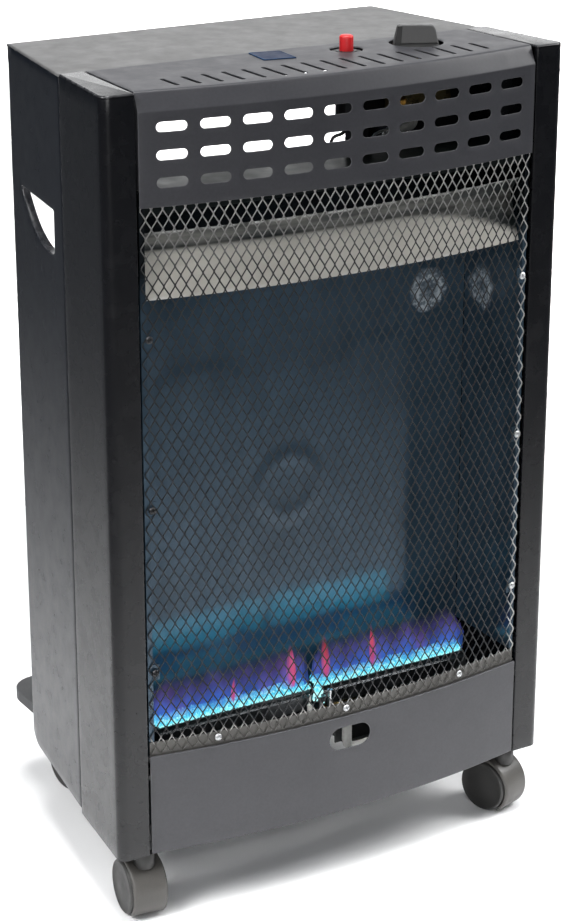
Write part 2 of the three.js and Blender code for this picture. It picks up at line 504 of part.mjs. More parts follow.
// ------------------------------------------------------------ moving controls
{
  const b = turned([[0, 0], [5.9, 0], [5.9, 26.5], [5.2, 27.6], [0, 28.2]], 24);
  b.translate(BUTTON_X, BUTTON_Y, 648);
  add('igniter_button', b, M.red);

  const c = rod(KNOB_X, KNOB_Y, 641, 648, 7, 20).subtract(rod(KNOB_X, KNOB_Y, 630, 660, 4.5, 16));
  add('valve_collar', c, M.zinc);
  const sp = rod(KNOB_X, KNOB_Y, 622, 667, 4.1, 16).subtract(box(KNOB_X + 2.8, KNOB_X + 8, KNOB_Y - 8, KNOB_Y + 8, 652, 670));
  add('valve_spindle', sp, M.brass);
  let k = rod(0, 0, 652, 656.5, 21, 36).add(rod(0, 0, 656, 660.5, 20.6, 36, 19));
  const bar = new THREE.Shape();
  [[-19.5, 660], [19, 660], [16.2, 674.6], [14.6, 676.6], [-14.4, 677.6], [-16.4, 676.2]].forEach(([x, z], i) => bar[i ? 'lineTo' : 'moveTo'](x, z));
  let g = slab(bar, -5.6, 5.6);
  // sides of the grip lean in towards the top
  for (const s of [1, -1]) {
    const w = new THREE.Shape();
    [[5.6 * s, 659], [3.6 * s, 679], [9 * s, 679], [9 * s, 659]].forEach(([y, z], i) => w[i ? 'lineTo' : 'moveTo'](y, z));
    const e = new THREE.ExtrudeGeometry(w, { depth: 60, bevelEnabled: false });
    e.rotateX(90 * D);
    e.rotateZ(90 * D);
    e.translate(-30, 0, 0);
    g = g.subtract(solid(e));
  }
  k = k.add(g);
  k = k.subtract(box(-30, -16.9, -2.6, 2.6, 661.5, 674.5));          // pointer slot in the left end
  k = k.rotate([0, 0, -24.6]).translate([KNOB_X, KNOB_Y, 0]);
  k = k.subtract(rod(KNOB_X, KNOB_Y, 640, 667.5, 4.4, 16));
  add('control_knob', k, M.knob);
}

// ------------------------------------------------------------------- castors
for (const [name, x, y, yaw] of CASTORS) {
  const g = new THREE.Group();
  g.position.set(x, y, 0);
  g.rotation.z = yaw * D;
  body.add(g);
  const zc = WHEEL_R - LIFT, rc = HOODC_R;
  // hood: shell over both wheels plus the web between them (profile in Y-Z)
  const N = 10;
  const arc = (r, a0, a1, n) => Array.from({ length: n + 1 }, (_, i) => {
    const t = (a0 + (a1 - a0) * i / n) * D;
    return [TRAIL + r * Math.cos(t), zc + r * Math.sin(t)];
  });
  const A0 = 64, A1 = 232;         // from behind the top round to the front, angles from +Y
  const along = (pts, x0, x1) => {
    const s = new THREE.Shape(pts.map((p) => new THREE.Vector2(p[0], p[1])));
    const e = new THREE.ExtrudeGeometry(s, { depth: x1 - x0, bevelEnabled: false });
    e.rotateX(90 * D);
    e.rotateZ(90 * D);
    e.translate(x0, 0, 0);
    return solid(e);
  };
  let h = along([...arc(rc, A0, A1, N), ...arc(WHEEL_R + 0.9, A1, A0, N)], -15.5, 15.5);
  h = h.add(along([...arc(rc - 0.4, A0, A1, N), [TRAIL - 6, zc - 9], [TRAIL + 6, zc - 9], [TRAIL + 9, zc]], -3.4, 3.4));
  h = h.add(rod(0, 0, zc + 22, -1.4, 9, 16)).add(rod(0, 0, -2, TRAY_Z - 4, 3.9, 12));
  // nothing of the stem boss may reach into the wheel space
  h = h.subtract(rodX(-20, -3.6, TRAIL, zc, WHEEL_R + 0.9, 24)).subtract(rodX(3.6, 20, TRAIL, zc, WHEEL_R + 0.9, 24));
  h = h.subtract(rodX(-20, 20, TRAIL, zc, 3.3, 14));
  add(`castor_${name}_hood`, h, M.plastic, g);
  add(`castor_${name}_axle`, rodX(-16.4, 16.4, TRAIL, zc, 2.9, 12), M.zinc, g);
  for (const [side, s] of [['left', -1], ['right', 1]]) {
    // tread, recessed outer dish and hub, bored for the axle from the inside
    const pr = [[3.3, WHEEL_IN], [23.4, WHEEL_IN], [WHEEL_R, WHEEL_IN + 1.2], [WHEEL_R, WHEEL_OUT - 1.6], [23.2, WHEEL_OUT - 0.3], [22.2, WHEEL_OUT], [20.5, WHEEL_OUT - 0.6], [0, WHEEL_OUT - 0.2], [0, WHEEL_OUT - 0.8], [3.3, WHEEL_OUT - 0.8], [3.3, WHEEL_IN]];
    let w = new THREE.LatheGeometry(pr.map((p) => new THREE.Vector2(p[0], p[1])), 24);
    w.rotateZ(-90 * D);                    // axis now +X
    if (s < 0) w.rotateZ(180 * D);
    w.translate(0, TRAIL, zc);
    add(`castor_${name}_wheel_${side}`, solid(w), M.wheel, g);
  }
}

body.position.set(0, Y_CENTRE, LIFT);
export default group;
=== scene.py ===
import math
import random

import bmesh
import bpy
import numpy as np
from mathutils import Matrix, Vector
from mathutils.geometry import delaunay_2d_cdt


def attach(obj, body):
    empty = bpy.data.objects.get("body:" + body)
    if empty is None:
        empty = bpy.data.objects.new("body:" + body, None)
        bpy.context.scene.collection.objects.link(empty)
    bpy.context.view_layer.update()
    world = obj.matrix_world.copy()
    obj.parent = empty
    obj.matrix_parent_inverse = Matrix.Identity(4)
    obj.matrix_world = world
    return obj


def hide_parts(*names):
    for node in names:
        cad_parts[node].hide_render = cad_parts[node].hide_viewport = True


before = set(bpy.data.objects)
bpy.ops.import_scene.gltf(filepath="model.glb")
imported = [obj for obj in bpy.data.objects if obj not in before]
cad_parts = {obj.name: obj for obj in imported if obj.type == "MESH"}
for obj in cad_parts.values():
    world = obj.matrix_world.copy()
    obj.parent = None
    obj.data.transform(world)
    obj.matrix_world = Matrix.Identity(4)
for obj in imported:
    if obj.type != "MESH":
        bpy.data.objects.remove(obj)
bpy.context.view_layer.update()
scene = bpy.context.scene
random.seed(7)

# ------------------------------------------------------------------ camera
cam = bpy.data.cameras.new("Camera")
cam.lens, cam.sensor_width, cam.sensor_fit = 96.39, 36.0, "AUTO"
cam.clip_start, cam.clip_end = 0.05, 60
cam_ob = bpy.data.objects.new("Camera", cam)
scene.collection.objects.link(cam_ob)
CAM_AT, CAM_TO = Vector((-1.0575, -1.8210, 1.1123)), Vector((0.042, 0.0146, 0.328))
cam_ob.location = CAM_AT
cam_ob.rotation_euler = (CAM_TO - CAM_AT).to_track_quat("-Z", "Y").to_euler()
scene.camera = cam_ob

# -------------------------------------------------------------- dimensions
# millimetres of the construction: y = 0 is the front plane of the posts and
# z = 0 the lower edge of the cabinet
LIFT, Y_CENTRE = 64.0, -155.4
BODY_H, COVER_H = 661.5, 660.0
FRONT_HALF, FRONT_IN, CREASE_Y, CREASE_HALF, CREASE_IN = 220.75, 191.35, 99.1, 208.25, 186.15
REAR_Y, REAR_HALF = 246.1, 184.85
BOW_R, BOW_Y = 995.0, 976.5
HOOD_LOW, HOOD_CREASE, HOOD_SET = 570.0, 646.0, 7.0
BOX_HALF, BOX_BACK, ROOF = 184.2, 88.0, 575.0
BAND = 47.0                      # depth of the burners


def W(p):
    return (p[0] / 1000, (p[1] + Y_CENTRE) / 1000, (p[2] + LIFT) / 1000)


def plan_at(y, g):
    return FRONT_IN + (CREASE_IN - FRONT_IN) * y / CREASE_Y - g


def bow(u, z, r):
    """Point on the bow: u is the arc length at BOW_R."""
    a = u / BOW_R
    return (r * math.sin(a), BOW_Y - r * math.cos(a), z)


# --------------------------------------------------------------- materials
class Mat:
    """A principled material with a small set of procedural helpers."""

    def __init__(self, name, color, rough, metal=0.0, **sockets):
        self.m = bpy.data.materials.new(name)
        self.m.use_nodes = True
        self.nt = self.m.node_tree
        self.nt.nodes.clear()
        self.out = self.n("ShaderNodeOutputMaterial")
        self.b = self.n("ShaderNodeBsdfPrincipled")
        self.link(self.b.outputs[0], self.out.inputs[0])
        self.b.inputs["Base Color"].default_value = (*color, 1)
        self.b.inputs["Roughness"].default_value = rough
        self.b.inputs["Metallic"].default_value = metal
        for k, v in sockets.items():
            self.b.inputs[k.replace("_", " ")].default_value = v
        self.color = self.rgb(color)
        self.height = None
        self.co = self.n("ShaderNodeTexCoord").outputs["Object"]

    def n(self, kind, **props):
        node = self.nt.nodes.new(kind)
        for k, v in props.items():
            setattr(node, k, v)
        return node

    def link(self, a, b):
        self.nt.links.new(a, b)

    def rgb(self, c):
        n = self.n("ShaderNodeRGB")
        n.outputs[0].default_value = (*c, 1)
        return n.outputs[0]

    def noise(self, scale, detail=3, rough=0.55, stretch=None, dist=0.0):
        co = self.co
        if stretch:
            mp = self.n("ShaderNodeMapping")
            mp.inputs["Scale"].default_value = stretch
            self.link(co, mp.inputs["Vector"])
            co = mp.outputs[0]
        n = self.n("ShaderNodeTexNoise")
        n.inputs["Scale"].default_value = scale
        n.inputs["Detail"].default_value = detail
        n.inputs["Roughness"].default_value = rough
        n.inputs["Distortion"].default_value = dist
        self.link(co, n.inputs["Vector"])
        return n.outputs["Fac"]

    def ramp(self, fac, stops):
        r = self.n("ShaderNodeValToRGB")
        e = r.color_ramp.elements
        while len(e) < len(stops):
            e.new(0.5)
        for i, (p, c) in enumerate(stops):
            e[i].position = p
            e[i].color = (*c, 1) if hasattr(c, "__len__") else (c, c, c, 1)
        self.link(fac, r.inputs[0])
        return r.outputs[0]

    def remap(self, fac, a, b, c, d):
        m = self.n("ShaderNodeMapRange")
        for i, v in zip(("From Min", "From Max", "To Min", "To Max"), (a, b, c, d)):
            m.inputs[i].default_value = v
        self.link(fac, m.inputs["Value"])
        return m.outputs[0]

    def math(self, op, a, b=None):
        m = self.n("ShaderNodeMath", operation=op)
        for i, v in enumerate((a, b)):
            if v is None:
                continue
            if isinstance(v, (int, float)):
                m.inputs[i].default_value = v
            else:
                self.link(v, m.inputs[i])
        return m.outputs[0]

    def mix(self, fac, a, b, blend="MIX"):
        m = self.n("ShaderNodeMix", data_type="RGBA", blend_type=blend)
        for s, v in ((m.inputs[0], fac), (m.inputs[6], a), (m.inputs[7], b)):
            if isinstance(v, (int, float)):
                s.default_value = v
            elif isinstance(v, tuple):
                s.default_value = (*v, 1)
            else:
                self.link(v, s)
        return m.outputs[2]

    def vary(self, scale, low, high, detail=3, stretch=None):
        """Multiplies the colour by a soft noise between low and high."""
        f = self.remap(self.noise(scale, detail, stretch=stretch), 0.3, 0.7, low, high)
        c = self.n("ShaderNodeCombineXYZ")
        for i in range(3):
            self.link(f, c.inputs[i])
        self.color = self.mix(1.0, self.color, c.outputs[0], "MULTIPLY")
        return self

    def tint(self, scale, color, lo, hi, amount=1.0, detail=3, stretch=None):
        f = self.remap(self.noise(scale, detail, stretch=stretch), lo, hi, 0, amount)
        self.color = self.mix(f, self.color, color)
        return self

    def edges(self, color, amount):
        """Thin paint or bare metal where the mesh says an edge is rolled."""
        a = self.n("ShaderNodeAttribute", attribute_name="edge")
        f = self.math("MULTIPLY", a.outputs["Fac"], self.remap(self.noise(160, 4), 0.35, 0.65, 0.25 * amount, amount))
        self.color = self.mix(f, self.color, color)
        return self

    def rough(self, scale, low, high, detail=3, stretch=None):
        self.link(self.remap(self.noise(scale, detail, stretch=stretch), 0.3, 0.7, low, high), self.b.inputs["Roughness"])
        return self

    def bump(self, scale, mm, detail=2, stretch=None, height=None):
        h = height if height is not None else self.noise(scale, detail, stretch=stretch)
        h = self.math("MULTIPLY", h, mm / 1000.0)
        self.height = h if self.height is None else self.math("ADD", self.height, h)
        return self

    def done(self):
        self.link(self.color, self.b.inputs["Base Color"])
        if self.height is not None:
            bp = self.n("ShaderNodeBump")
            bp.inputs["Distance"].default_value = 1.0
            bp.inputs["Strength"].default_value = 1.0
            self.link(self.height, bp.inputs["Height"])
            self.link(bp.outputs[0], self.b.inputs["Normal"])
        return self.m


def powder(name, color, rough, peel=0.006, spec=0.5, edge=(0.16, 0.16, 0.165)):
    m = Mat(name, color, rough, 0.0, Specular_IOR_Level=spec)
    m.vary(5, 0.90, 1.10).vary(420, 0.92, 1.08, 2)
    m.tint(26, tuple(min(1, c * 1.8 + 0.004) for c in color), 0.55, 0.95, 0.12)
    m.edges(edge, 0.55)
    m.rough(60, rough - 0.04, rough + 0.05)
    m.bump(620, peel, 2).bump(2600, peel * 0.35, 1)
    return m.done()


MAT = {}
MAT["post"] = powder("black_satin", (0.0045, 0.0045, 0.0055), 0.26, spec=0.44, edge=(0.09, 0.09, 0.095))
MAT["side"] = powder("side_satin", (0.0050, 0.0060, 0.0090), 0.24, spec=0.30, edge=(0.09, 0.09, 0.095))
MAT["cover"] = powder("cover_satin", (0.060, 0.059, 0.058), 0.42, spec=0.6)
MAT["hood"] = powder("hood_grey", (0.035, 0.035, 0.040), 0.46, spec=0.45)
MAT["panel"] = powder("panel_grey", (0.047, 0.047, 0.052), 0.52, spec=0.45)
# painted light: the flange behind the guard gets the panel paint made lighter, to offset the shade of the groove and
# the guard
MAT["ledge"] = powder("ledge_painted_light", (0.100, 0.096, 0.089), 0.45, spec=0.5)
MAT["tray"] = powder("tray_grey", (0.040, 0.041, 0.043), 0.50, spec=0.45)


def chamber():
    m = Mat("chamber_steel", (0.062, 0.104, 0.146), 0.20, 0.38)
    m.vary(9, 0.75, 1.25, 4).vary(60, 0.90, 1.10, 3, stretch=(1, 1, 0.25))
    m.tint(4.5, (0.075, 0.080, 0.085), 0.58, 0.85, 0.45)
    sep = m.n("ShaderNodeSeparateXYZ")
    m.link(m.co, sep.inputs[0])
    # painted shade: near black from just under the deflector's lower lip upwards, behind and above the deflector, under
    # the roof
    m.color = m.mix(m.remap(sep.outputs[2], 0.545, 0.580, 0, 0.96), m.color, (0.004, 0.005, 0.006))
    m.color = m.mix(m.remap(sep.outputs[2], 0.50, 0.22, 0, 0.50), m.color, (0.010, 0.020, 0.032))
    # painted reflection: two pale spotted halos high up on the right, on the back wall and the right wall, standing in
    # for mirrored lamps
    for cx_, cy_, cz_, rad in ((0.145, -0.068, 0.497, 0.021), (0.1845, -0.094, 0.501, 0.019)):
        v_ = m.n("ShaderNodeVectorMath", operation="DISTANCE")
        m.link(m.co, v_.inputs[0])
        v_.inputs[1].default_value = (cx_, cy_, cz_)
        dist_ = m.math("ADD", v_.outputs["Value"], m.remap(m.noise(75, 3), 0.2, 0.8, -0.006, 0.006))
        ring_ = m.math("MULTIPLY", m.remap(dist_, rad, rad * 0.72, 0, 1), m.remap(dist_, rad * 0.18, rad * 0.5, 0.25, 1))
        spots_ = m.remap(m.noise(260, 2), 0.42, 0.58, 0.25, 1.0)
        m.color = m.mix(m.math("MULTIPLY", ring_, spots_), m.color, (0.75, 0.82, 0.86))
    m.rough(22, 0.15, 0.24, 3, stretch=(1, 1, 0.4))
    m.bump(11, 0.16, 2).bump(700, 0.004, 2)
    return m.done()


def deflector():
    m = Mat("deflector_steel", (0.60, 0.58, 0.525), 0.45, 0.12)
    m.vary(7, 0.86, 1.12, 4).vary(90, 0.93, 1.07, 3, stretch=(0.15, 1, 1))
    m.tint(3.2, (0.50, 0.47, 0.41), 0.55, 0.8, 0.6)
    # painted shade: a per-vertex mask darkens the fold and the upper face of the sheet towards near black
    painted_shade = m.n("ShaderNodeAttribute", attribute_name="painted_shade").outputs["Fac"]
    grain = m.remap(m.noise(70, 3, stretch=(0.2, 1, 1)), 0.3, 0.7, 0.8, 1.15)
    m.color = m.mix(m.math("MULTIPLY", painted_shade, grain), m.color, (0.008, 0.012, 0.012))
    m.edges((0.75, 0.75, 0.74), 0.9)
    m.rough(30, 0.30, 0.42, 3, stretch=(0.2, 1, 1))
    m.bump(12, 0.12, 2).bump(500, 0.006, 2, stretch=(0.1, 1, 1))
    return m.done()


def guard():
    # dark over the chamber opening, grey along the foot, brighter round the edge
    m = Mat("guard_steel", (0.42, 0.415, 0.40), 0.36, 0.7)
    m.vary(300, 0.8, 1.15, 3)
    sep = m.n("ShaderNodeSeparateXYZ")
    m.link(m.co, sep.inputs[0])
    ax = sep.outputs[0]
    wob = m.math("MULTIPLY", m.math("SUBTRACT", m.noise(14, 3), 0.5), 0.012)
    inx = m.remap(m.math("ADD", ax, wob), 0.1835, 0.1790, 0, 1)
    zz = m.math("ADD", sep.outputs[2], wob)
    hi = m.remap(zz, 0.634, 0.575, 0, 1)
    lo = m.remap(zz, 0.168, 0.174, 0, 1)
    m.color = m.mix(m.remap(sep.outputs[2], 0.171, 0.167, 0, 1), m.color, (0.09, 0.087, 0.081))
    f = m.math("MULTIPLY", m.math("MULTIPLY", inx, hi), lo)
    m.color = m.mix(m.math("MULTIPLY", f, 0.93), m.color, (0.012, 0.013, 0.015))
    m.rough(200, 0.34, 0.5, 2)
    m.bump(1500, 0.01, 2)
    return m.done()


def metal(name, color, rough, spread=0.08, scale=80, bump=0.006, stretch=None, tint=None):
    m = Mat(name, color, rough, 1.0)
    m.vary(scale * 0.2, 0.85, 1.12, 3).vary(scale * 4, 0.94, 1.06, 2, stretch=stretch)
    if tint:
        m.tint(scale * 0.3, tint, 0.5, 0.75, 0.5)
    m.edges(tuple(min(1, c * 1.25) for c in color), 0.6)
    m.rough(scale, max(0.05, rough - spread), rough + spread, 3, stretch=stretch)
    m.bump(scale * 8, bump, 2, stretch=stretch)
    return m.done()


def plastic(name, color, rough, spread=0.05, bump=0.012, scale=900, spec=0.5, edge=None):
    m = Mat(name, color, rough, 0.0, Specular_IOR_Level=spec)
    m.vary(30, 0.93, 1.07, 3).vary(scale, 0.95, 1.05, 2)
    m.edges(edge or tuple(min(1, c * 1.5 + 0.02) for c in color), 0.5)
    m.rough(120, rough - spread, rough + spread, 3)
    m.bump(scale, bump, 2)
    return m.done()


MAT["chamber"] = chamber()
MAT["deflector"] = deflector()
MAT["guard"] = guard()
MAT["zinc"] = metal("zinc", (0.62, 0.63, 0.64), 0.30, tint=(0.5, 0.5, 0.48))
MAT["screw"] = metal("screw_zinc", (0.58, 0.59, 0.60), 0.34, scale=200)
# the left guard screws are plain black so they do not show beside the left post
MAT["screw_dark"] = metal("screw_blackened", (0.05, 0.05, 0.052), 0.4, scale=200)
MAT["pipe"] = plastic("pipe_zinc", (0.62, 0.62, 0.60), 0.35, bump=0.004, scale=300)
MAT["roof"] = metal("roof_steel", (0.032, 0.039, 0.038), 0.42, scale=40)
MAT["brass"] = metal("brass", (0.62, 0.45, 0.20), 0.30, tint=(0.45, 0.30, 0.12))
MAT["burner"] = metal("burner_steel", (0.10, 0.105, 0.11), 0.38, tint=(0.06, 0.05, 0.05))
MAT["ribbon"] = metal("ribbon_steel", (0.30, 0.36, 0.40), 0.30, scale=300)
MAT["black"] = powder("black_bracket", (0.010, 0.010, 0.011), 0.5, spec=0.4, edge=(0.05, 0.05, 0.05))
MAT["rubber"] = plastic("black_plastic", (0.012, 0.012, 0.013), 0.45)
MAT["ceramic"] = plastic("ceramic", (0.75, 0.73, 0.68), 0.35, bump=0.004)
MAT["red"] = plastic("red_plastic", (0.62, 0.018, 0.022), 0.38, bump=0.004, edge=(0.8, 0.08, 0.07))
MAT["knob"] = plastic("knob_plastic", (0.075, 0.074, 0.074), 0.40, bump=0.012, edge=(0.22, 0.22, 0.22))
MAT["skirt"] = plastic("knob_skirt", (0.010, 0.010, 0.010), 0.42, bump=0.01)
MAT["castor"] = plastic("castor_plastic", (0.067, 0.063, 0.058), 0.42, bump=0.016, scale=700)
MAT["wheel"] = plastic("wheel_plastic", (0.020, 0.0195, 0.0185), 0.5, bump=0.016, scale=700)


def badge():
    m = Mat("badge_blue", (0.003, 0.012, 0.040), 0.5, 0.0, Specular_IOR_Level=0.12)
    m.vary(60, 0.85, 1.15)
    m.edges((0.012, 0.06, 0.14), 0.8)
    m.rough(90, 0.42, 0.56)
    m.bump(400, 0.004)
    return m.done()


MAT["badge"] = badge()


def glow(name, stops, z0, z1, strength, alpha=None, grain=900, seed=0.0):
    """Burning gas: colour and density change with height above the burner."""
    mat = bpy.data.materials.new(name)
    mat.use_nodes = True
    m = Mat.__new__(Mat)
    m.m, m.nt = mat, mat.node_tree
    m.nt.nodes.clear()
    m.out = m.n("ShaderNodeOutputMaterial")
    m.co = m.n("ShaderNodeTexCoord").outputs["Object"]
    sep = m.n("ShaderNodeSeparateXYZ")
    m.link(m.co, sep.inputs[0])
    tongue = m.noise(46, 3, 0.6, stretch=(1.6, 0.4, 0.12))
    z = m.math("ADD", sep.outputs[2], m.math("MULTIPLY", m.math("SUBTRACT", tongue, 0.5), 0.022 if alpha else 0.004))
    h = m.remap(z, z0, z1, 0, 1)
    col = m.ramp(h, stops)
    if alpha:
        col = m.mix(m.remap(m.noise(38, 3, 0.6, stretch=(1.5, 0.5, 0.5)), 0.52, 0.66, 0, 0.42), col, (0.40, 0.13, 0.46))
    e = m.n("ShaderNodeEmission")
    m.link(col, e.inputs["Color"])
    m.link(m.remap(m.noise(grain, 2), 0.3, 0.7, strength * 0.7, strength * 1.25), e.inputs["Strength"])
    if alpha is None:
        m.link(e.outputs[0], m.out.inputs[0])
        return mat
    t = m.n("ShaderNodeBsdfTransparent")
    mx = m.n("ShaderNodeMixShader")
    dens = m.ramp(h, alpha)
    fl = m.remap(m.noise(30, 3, 0.6, stretch=(2.2, 0.5, 0.25)), 0.32, 0.68, 0.35, 1.15)
    m.link(m.math("MULTIPLY", dens, fl), mx.inputs[0])
    m.link(t.outputs[0], mx.inputs[1])
    m.link(e.outputs[0], mx.inputs[2])
    m.link(mx.outputs[0], m.out.inputs[0])
    return mat


Z97 = (97 + LIFT) / 1000


def jets():
    m = Mat.__new__(Mat)
    m.m = bpy.data.materials.new("flame_inner")
    m.m.use_nodes = True
    m.nt = m.m.node_tree
    m.nt.nodes.clear()
    m.out = m.n("ShaderNodeOutputMaterial")
    m.co = m.n("ShaderNodeTexCoord").outputs["Object"]
    sep = m.n("ShaderNodeSeparateXYZ")
    m.link(m.co, sep.inputs[0])
    h = m.remap(sep.outputs[2], Z97 - 0.001, Z97 + 0.0075, 0, 1)
    base = m.ramp(h, [(0.0, (0.55, 1.0, 1.0)), (0.22, (0.16, 0.80, 0.98)), (0.6, (0.07, 0.55, 0.80)), (1.0, (0.10, 0.62, 0.88))])
    spots = m.remap(m.noise(330, 2, 0.6), 0.46, 0.62, 0, 1)
    col = m.mix(spots, base, (0.42, 1.0, 1.0))
    dark = m.remap(m.noise(260, 2, 0.6, stretch=(1, 1.6, 1)), 0.40, 0.30, 0, 0.75)
    col = m.mix(dark, col, (0.01, 0.22, 0.36))
    e = m.n("ShaderNodeEmission")
    m.link(col, e.inputs["Color"])
    e.inputs["Strength"].default_value = 1.15
    m.link(e.outputs[0], m.out.inputs[0])
    return m.m


MAT["jets"] = jets()
MAT["mantle"] = glow("flame_outer", [(0.0, (0.04, 0.22, 0.78)), (0.30, (0.07, 0.15, 0.62)), (0.60, (0.13, 0.11, 0.42)), (1.0, (0.20, 0.14, 0.34))],
                     Z97, Z97 + 0.042, 0.95, [(0.0, 0.38), (0.25, 0.27), (0.55, 0.12), (0.82, 0.035), (1.0, 0.0)], 60)
MAT["streak"] = glow("flame_streak", [(0.0, (0.80, 0.10, 0.26)), (0.6, (0.80, 0.10, 0.14)), (1.0, (0.5, 0.07, 0.10))],
                     Z97, Z97 + 0.048, 0.95, [(0.0, 0.10), (0.25, 0.26), (0.70, 0.18), (1.0, 0.0)], 60)


# ------------------------------------------------------------ mesh helpers
def make(name, verts, faces, mat, body="cabinet", rep=(), sharp=38, weld=0.01, edge=None, flat=False, mats=None, index=None, local=None):
    """verts in construction millimetres. local places them first."""
    co = np.array(verts, float)
    if local is not None:
        co = co @ np.array(local.to_3x3()).T + np.array(local.translation)
    co = (co + np.array([0, Y_CENTRE, LIFT])) / 1000
    me = bpy.data.meshes.new(name)
    me.from_pydata(co.tolist(), [], faces)
    if edge is not None:
        a = me.attributes.new("edge", "FLOAT", "POINT")
        a.data.foreach_set("value", np.array(edge, np.float32))
    for k in (mats or [mat]):
        me.materials.append(MAT[k])
    if index is not None:
        me.polygons.foreach_set("material_index", index)
    bm = bmesh.new()
    bm.from_mesh(me)
    if weld:
        bmesh.ops.remove_doubles(bm, verts=bm.verts, dist=weld / 1000)
    bmesh.ops.recalc_face_normals(bm, faces=bm.faces)
    bm.to_mesh(me)
    bm.free()
    if not flat:
        me.shade_smooth()
        me.set_sharp_from_angle(angle=math.radians(sharp))
    ob = bpy.data.objects.new(name, me)
    scene.collection.objects.link(ob)
    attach(ob, body)
    if rep:
        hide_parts(*rep)
    return ob


class Acc:
    """Collects vertices and faces of one piece."""

    def __init__(self):
        self.v, self.f, self.e, self.mi = [], [], [], []

    def add(self, verts, faces, edge=0.0, mi=0):
        k = len(self.v)
        self.v += [tuple(p) for p in verts]
        self.e += list(edge) if hasattr(edge, "__len__") else [edge] * len(verts)
        self.f += [tuple(i + k for i in f) for f in faces]
        self.mi += [mi] * len(faces)

    def loops(self, rings, edge=None, closed=True, mi=0):
        """Quads between consecutive rings with the same count."""
        n = len(rings[0])
        v = [p for r in rings for p in r]
        f = []
        for k in range(len(rings) - 1):
            for i in range(n if closed else n - 1):
                j = (i + 1) % n
                f.append((k * n + i, k * n + j, (k + 1) * n + j, (k + 1) * n + i))
        e = [x for x in (edge or [0.0] * len(rings)) for _ in range(n)]
        self.add(v, f, e, mi)

    def cap(self, ring, mi=0):
        self.add(ring, [tuple(range(len(ring)))], 0.0, mi)


def offset(poly, d):
    """Moves a counter-clockwise outline outwards by d."""
    p = np.array(poly, float)
    a, b = np.roll(p, 1, 0), np.roll(p, -1, 0)
    e1, e2 = p - a, b - p
    e1 /= np.linalg.norm(e1, axis=1)[:, None] + 1e-12
    e2 /= np.linalg.norm(e2, axis=1)[:, None] + 1e-12
    n1 = np.stack([e1[:, 1], -e1[:, 0]], 1)
    n2 = np.stack([e2[:, 1], -e2[:, 0]], 1)
    n = n1 + n2
    n /= np.linalg.norm(n, axis=1)[:, None] + 1e-12
    c = np.clip((n * n1).sum(1), 0.5, 1)
    return p + n * (d / c)[:, None]


def ccw(poly):
    p = np.array(poly, float)
    q = np.roll(p, -1, 0)
    return p if (p[:, 0] * q[:, 1] - q[:, 0] * p[:, 1]).sum() > 0 else p[::-1]


def refine(poly, h):
    out = []
    p = np.array(poly, float)
    for i in range(len(p)):
        a, b = p[i], p[(i + 1) % len(p)]
        n = max(1, int(math.ceil(np.linalg.norm(b - a) / h)))
        out += [a + (b - a) * k / n for k in range(n)]
    return np.array(out)


def stadium(x, z, l, h, k=9):
    r, a = h / 2, l / 2 - h / 2
    return np.array([(x + a + r * math.cos(t), z + r * math.sin(t)) for t in np.linspace(-math.pi / 2, math.pi / 2, k)]
                    + [(x - a + r * math.cos(t), z + r * math.sin(t)) for t in np.linspace(math.pi / 2, 1.5 * math.pi, k)])


def circle(x, y, r, n=32):
    return np.array([(x + r * math.cos(t), y + r * math.sin(t)) for t in np.linspace(0, 2 * math.pi, n, endpoint=False)])


def inside(pts, polys):
    pts = np.asarray(pts, float)
    odd = np.zeros(len(pts), bool)
    for p in polys:
        q = np.roll(p, -1, 0)
        for (x0, y0), (x1, y1) in zip(p, q):
            if y0 == y1:
                continue
            m = (pts[:, 1] > min(y0, y1)) & (pts[:, 1] <= max(y0, y1))
            xs = x0 + (pts[:, 1] - y0) * (x1 - x0) / (y1 - y0)
            odd ^= m & (pts[:, 0] < xs)
    return odd


def far_from(pts, polys, d):
    keep = np.ones(len(pts), bool)
    for p in polys:
        for a, b in zip(p, np.roll(p, -1, 0)):
            ab = b - a
            t = np.clip(((pts - a) @ ab) / (ab @ ab + 1e-12), 0, 1)
            keep &= np.linalg.norm(pts - (a + t[:, None] * ab), axis=1) > d
    return keep


def fill(outline, holes, us, vs, near=1.2):
    polys = [outline] + holes
    g = np.array([(u, v) for v in vs for u in us], float)
    if len(g):
        g = g[inside(g, polys)]
        g = g[far_from(g, polys, near)]
    verts, edges = [], []
    for p in polys:
        k = len(verts)
        verts += [Vector((float(a), float(b))) for a, b in p]
        edges += [(k + i, k + (i + 1) % len(p)) for i in range(len(p))]
    verts += [Vector((float(a), float(b))) for a, b in g]
    v, _, f, *_ = delaunay_2d_cdt(verts, edges, [], 0, 1e-5, False)
    v = np.array([(p[0], p[1]) for p in v], float)
    f = [t for t in f if len(t) == 3]
    c = np.array([v[list(t)].mean(0) for t in f])
    ok = inside(c, polys)
    return v, [t for t, k in zip(f, ok) if k]


ROUND = [(0.45, 0.0), (0.16, 0.10), (0.0, 0.40)]


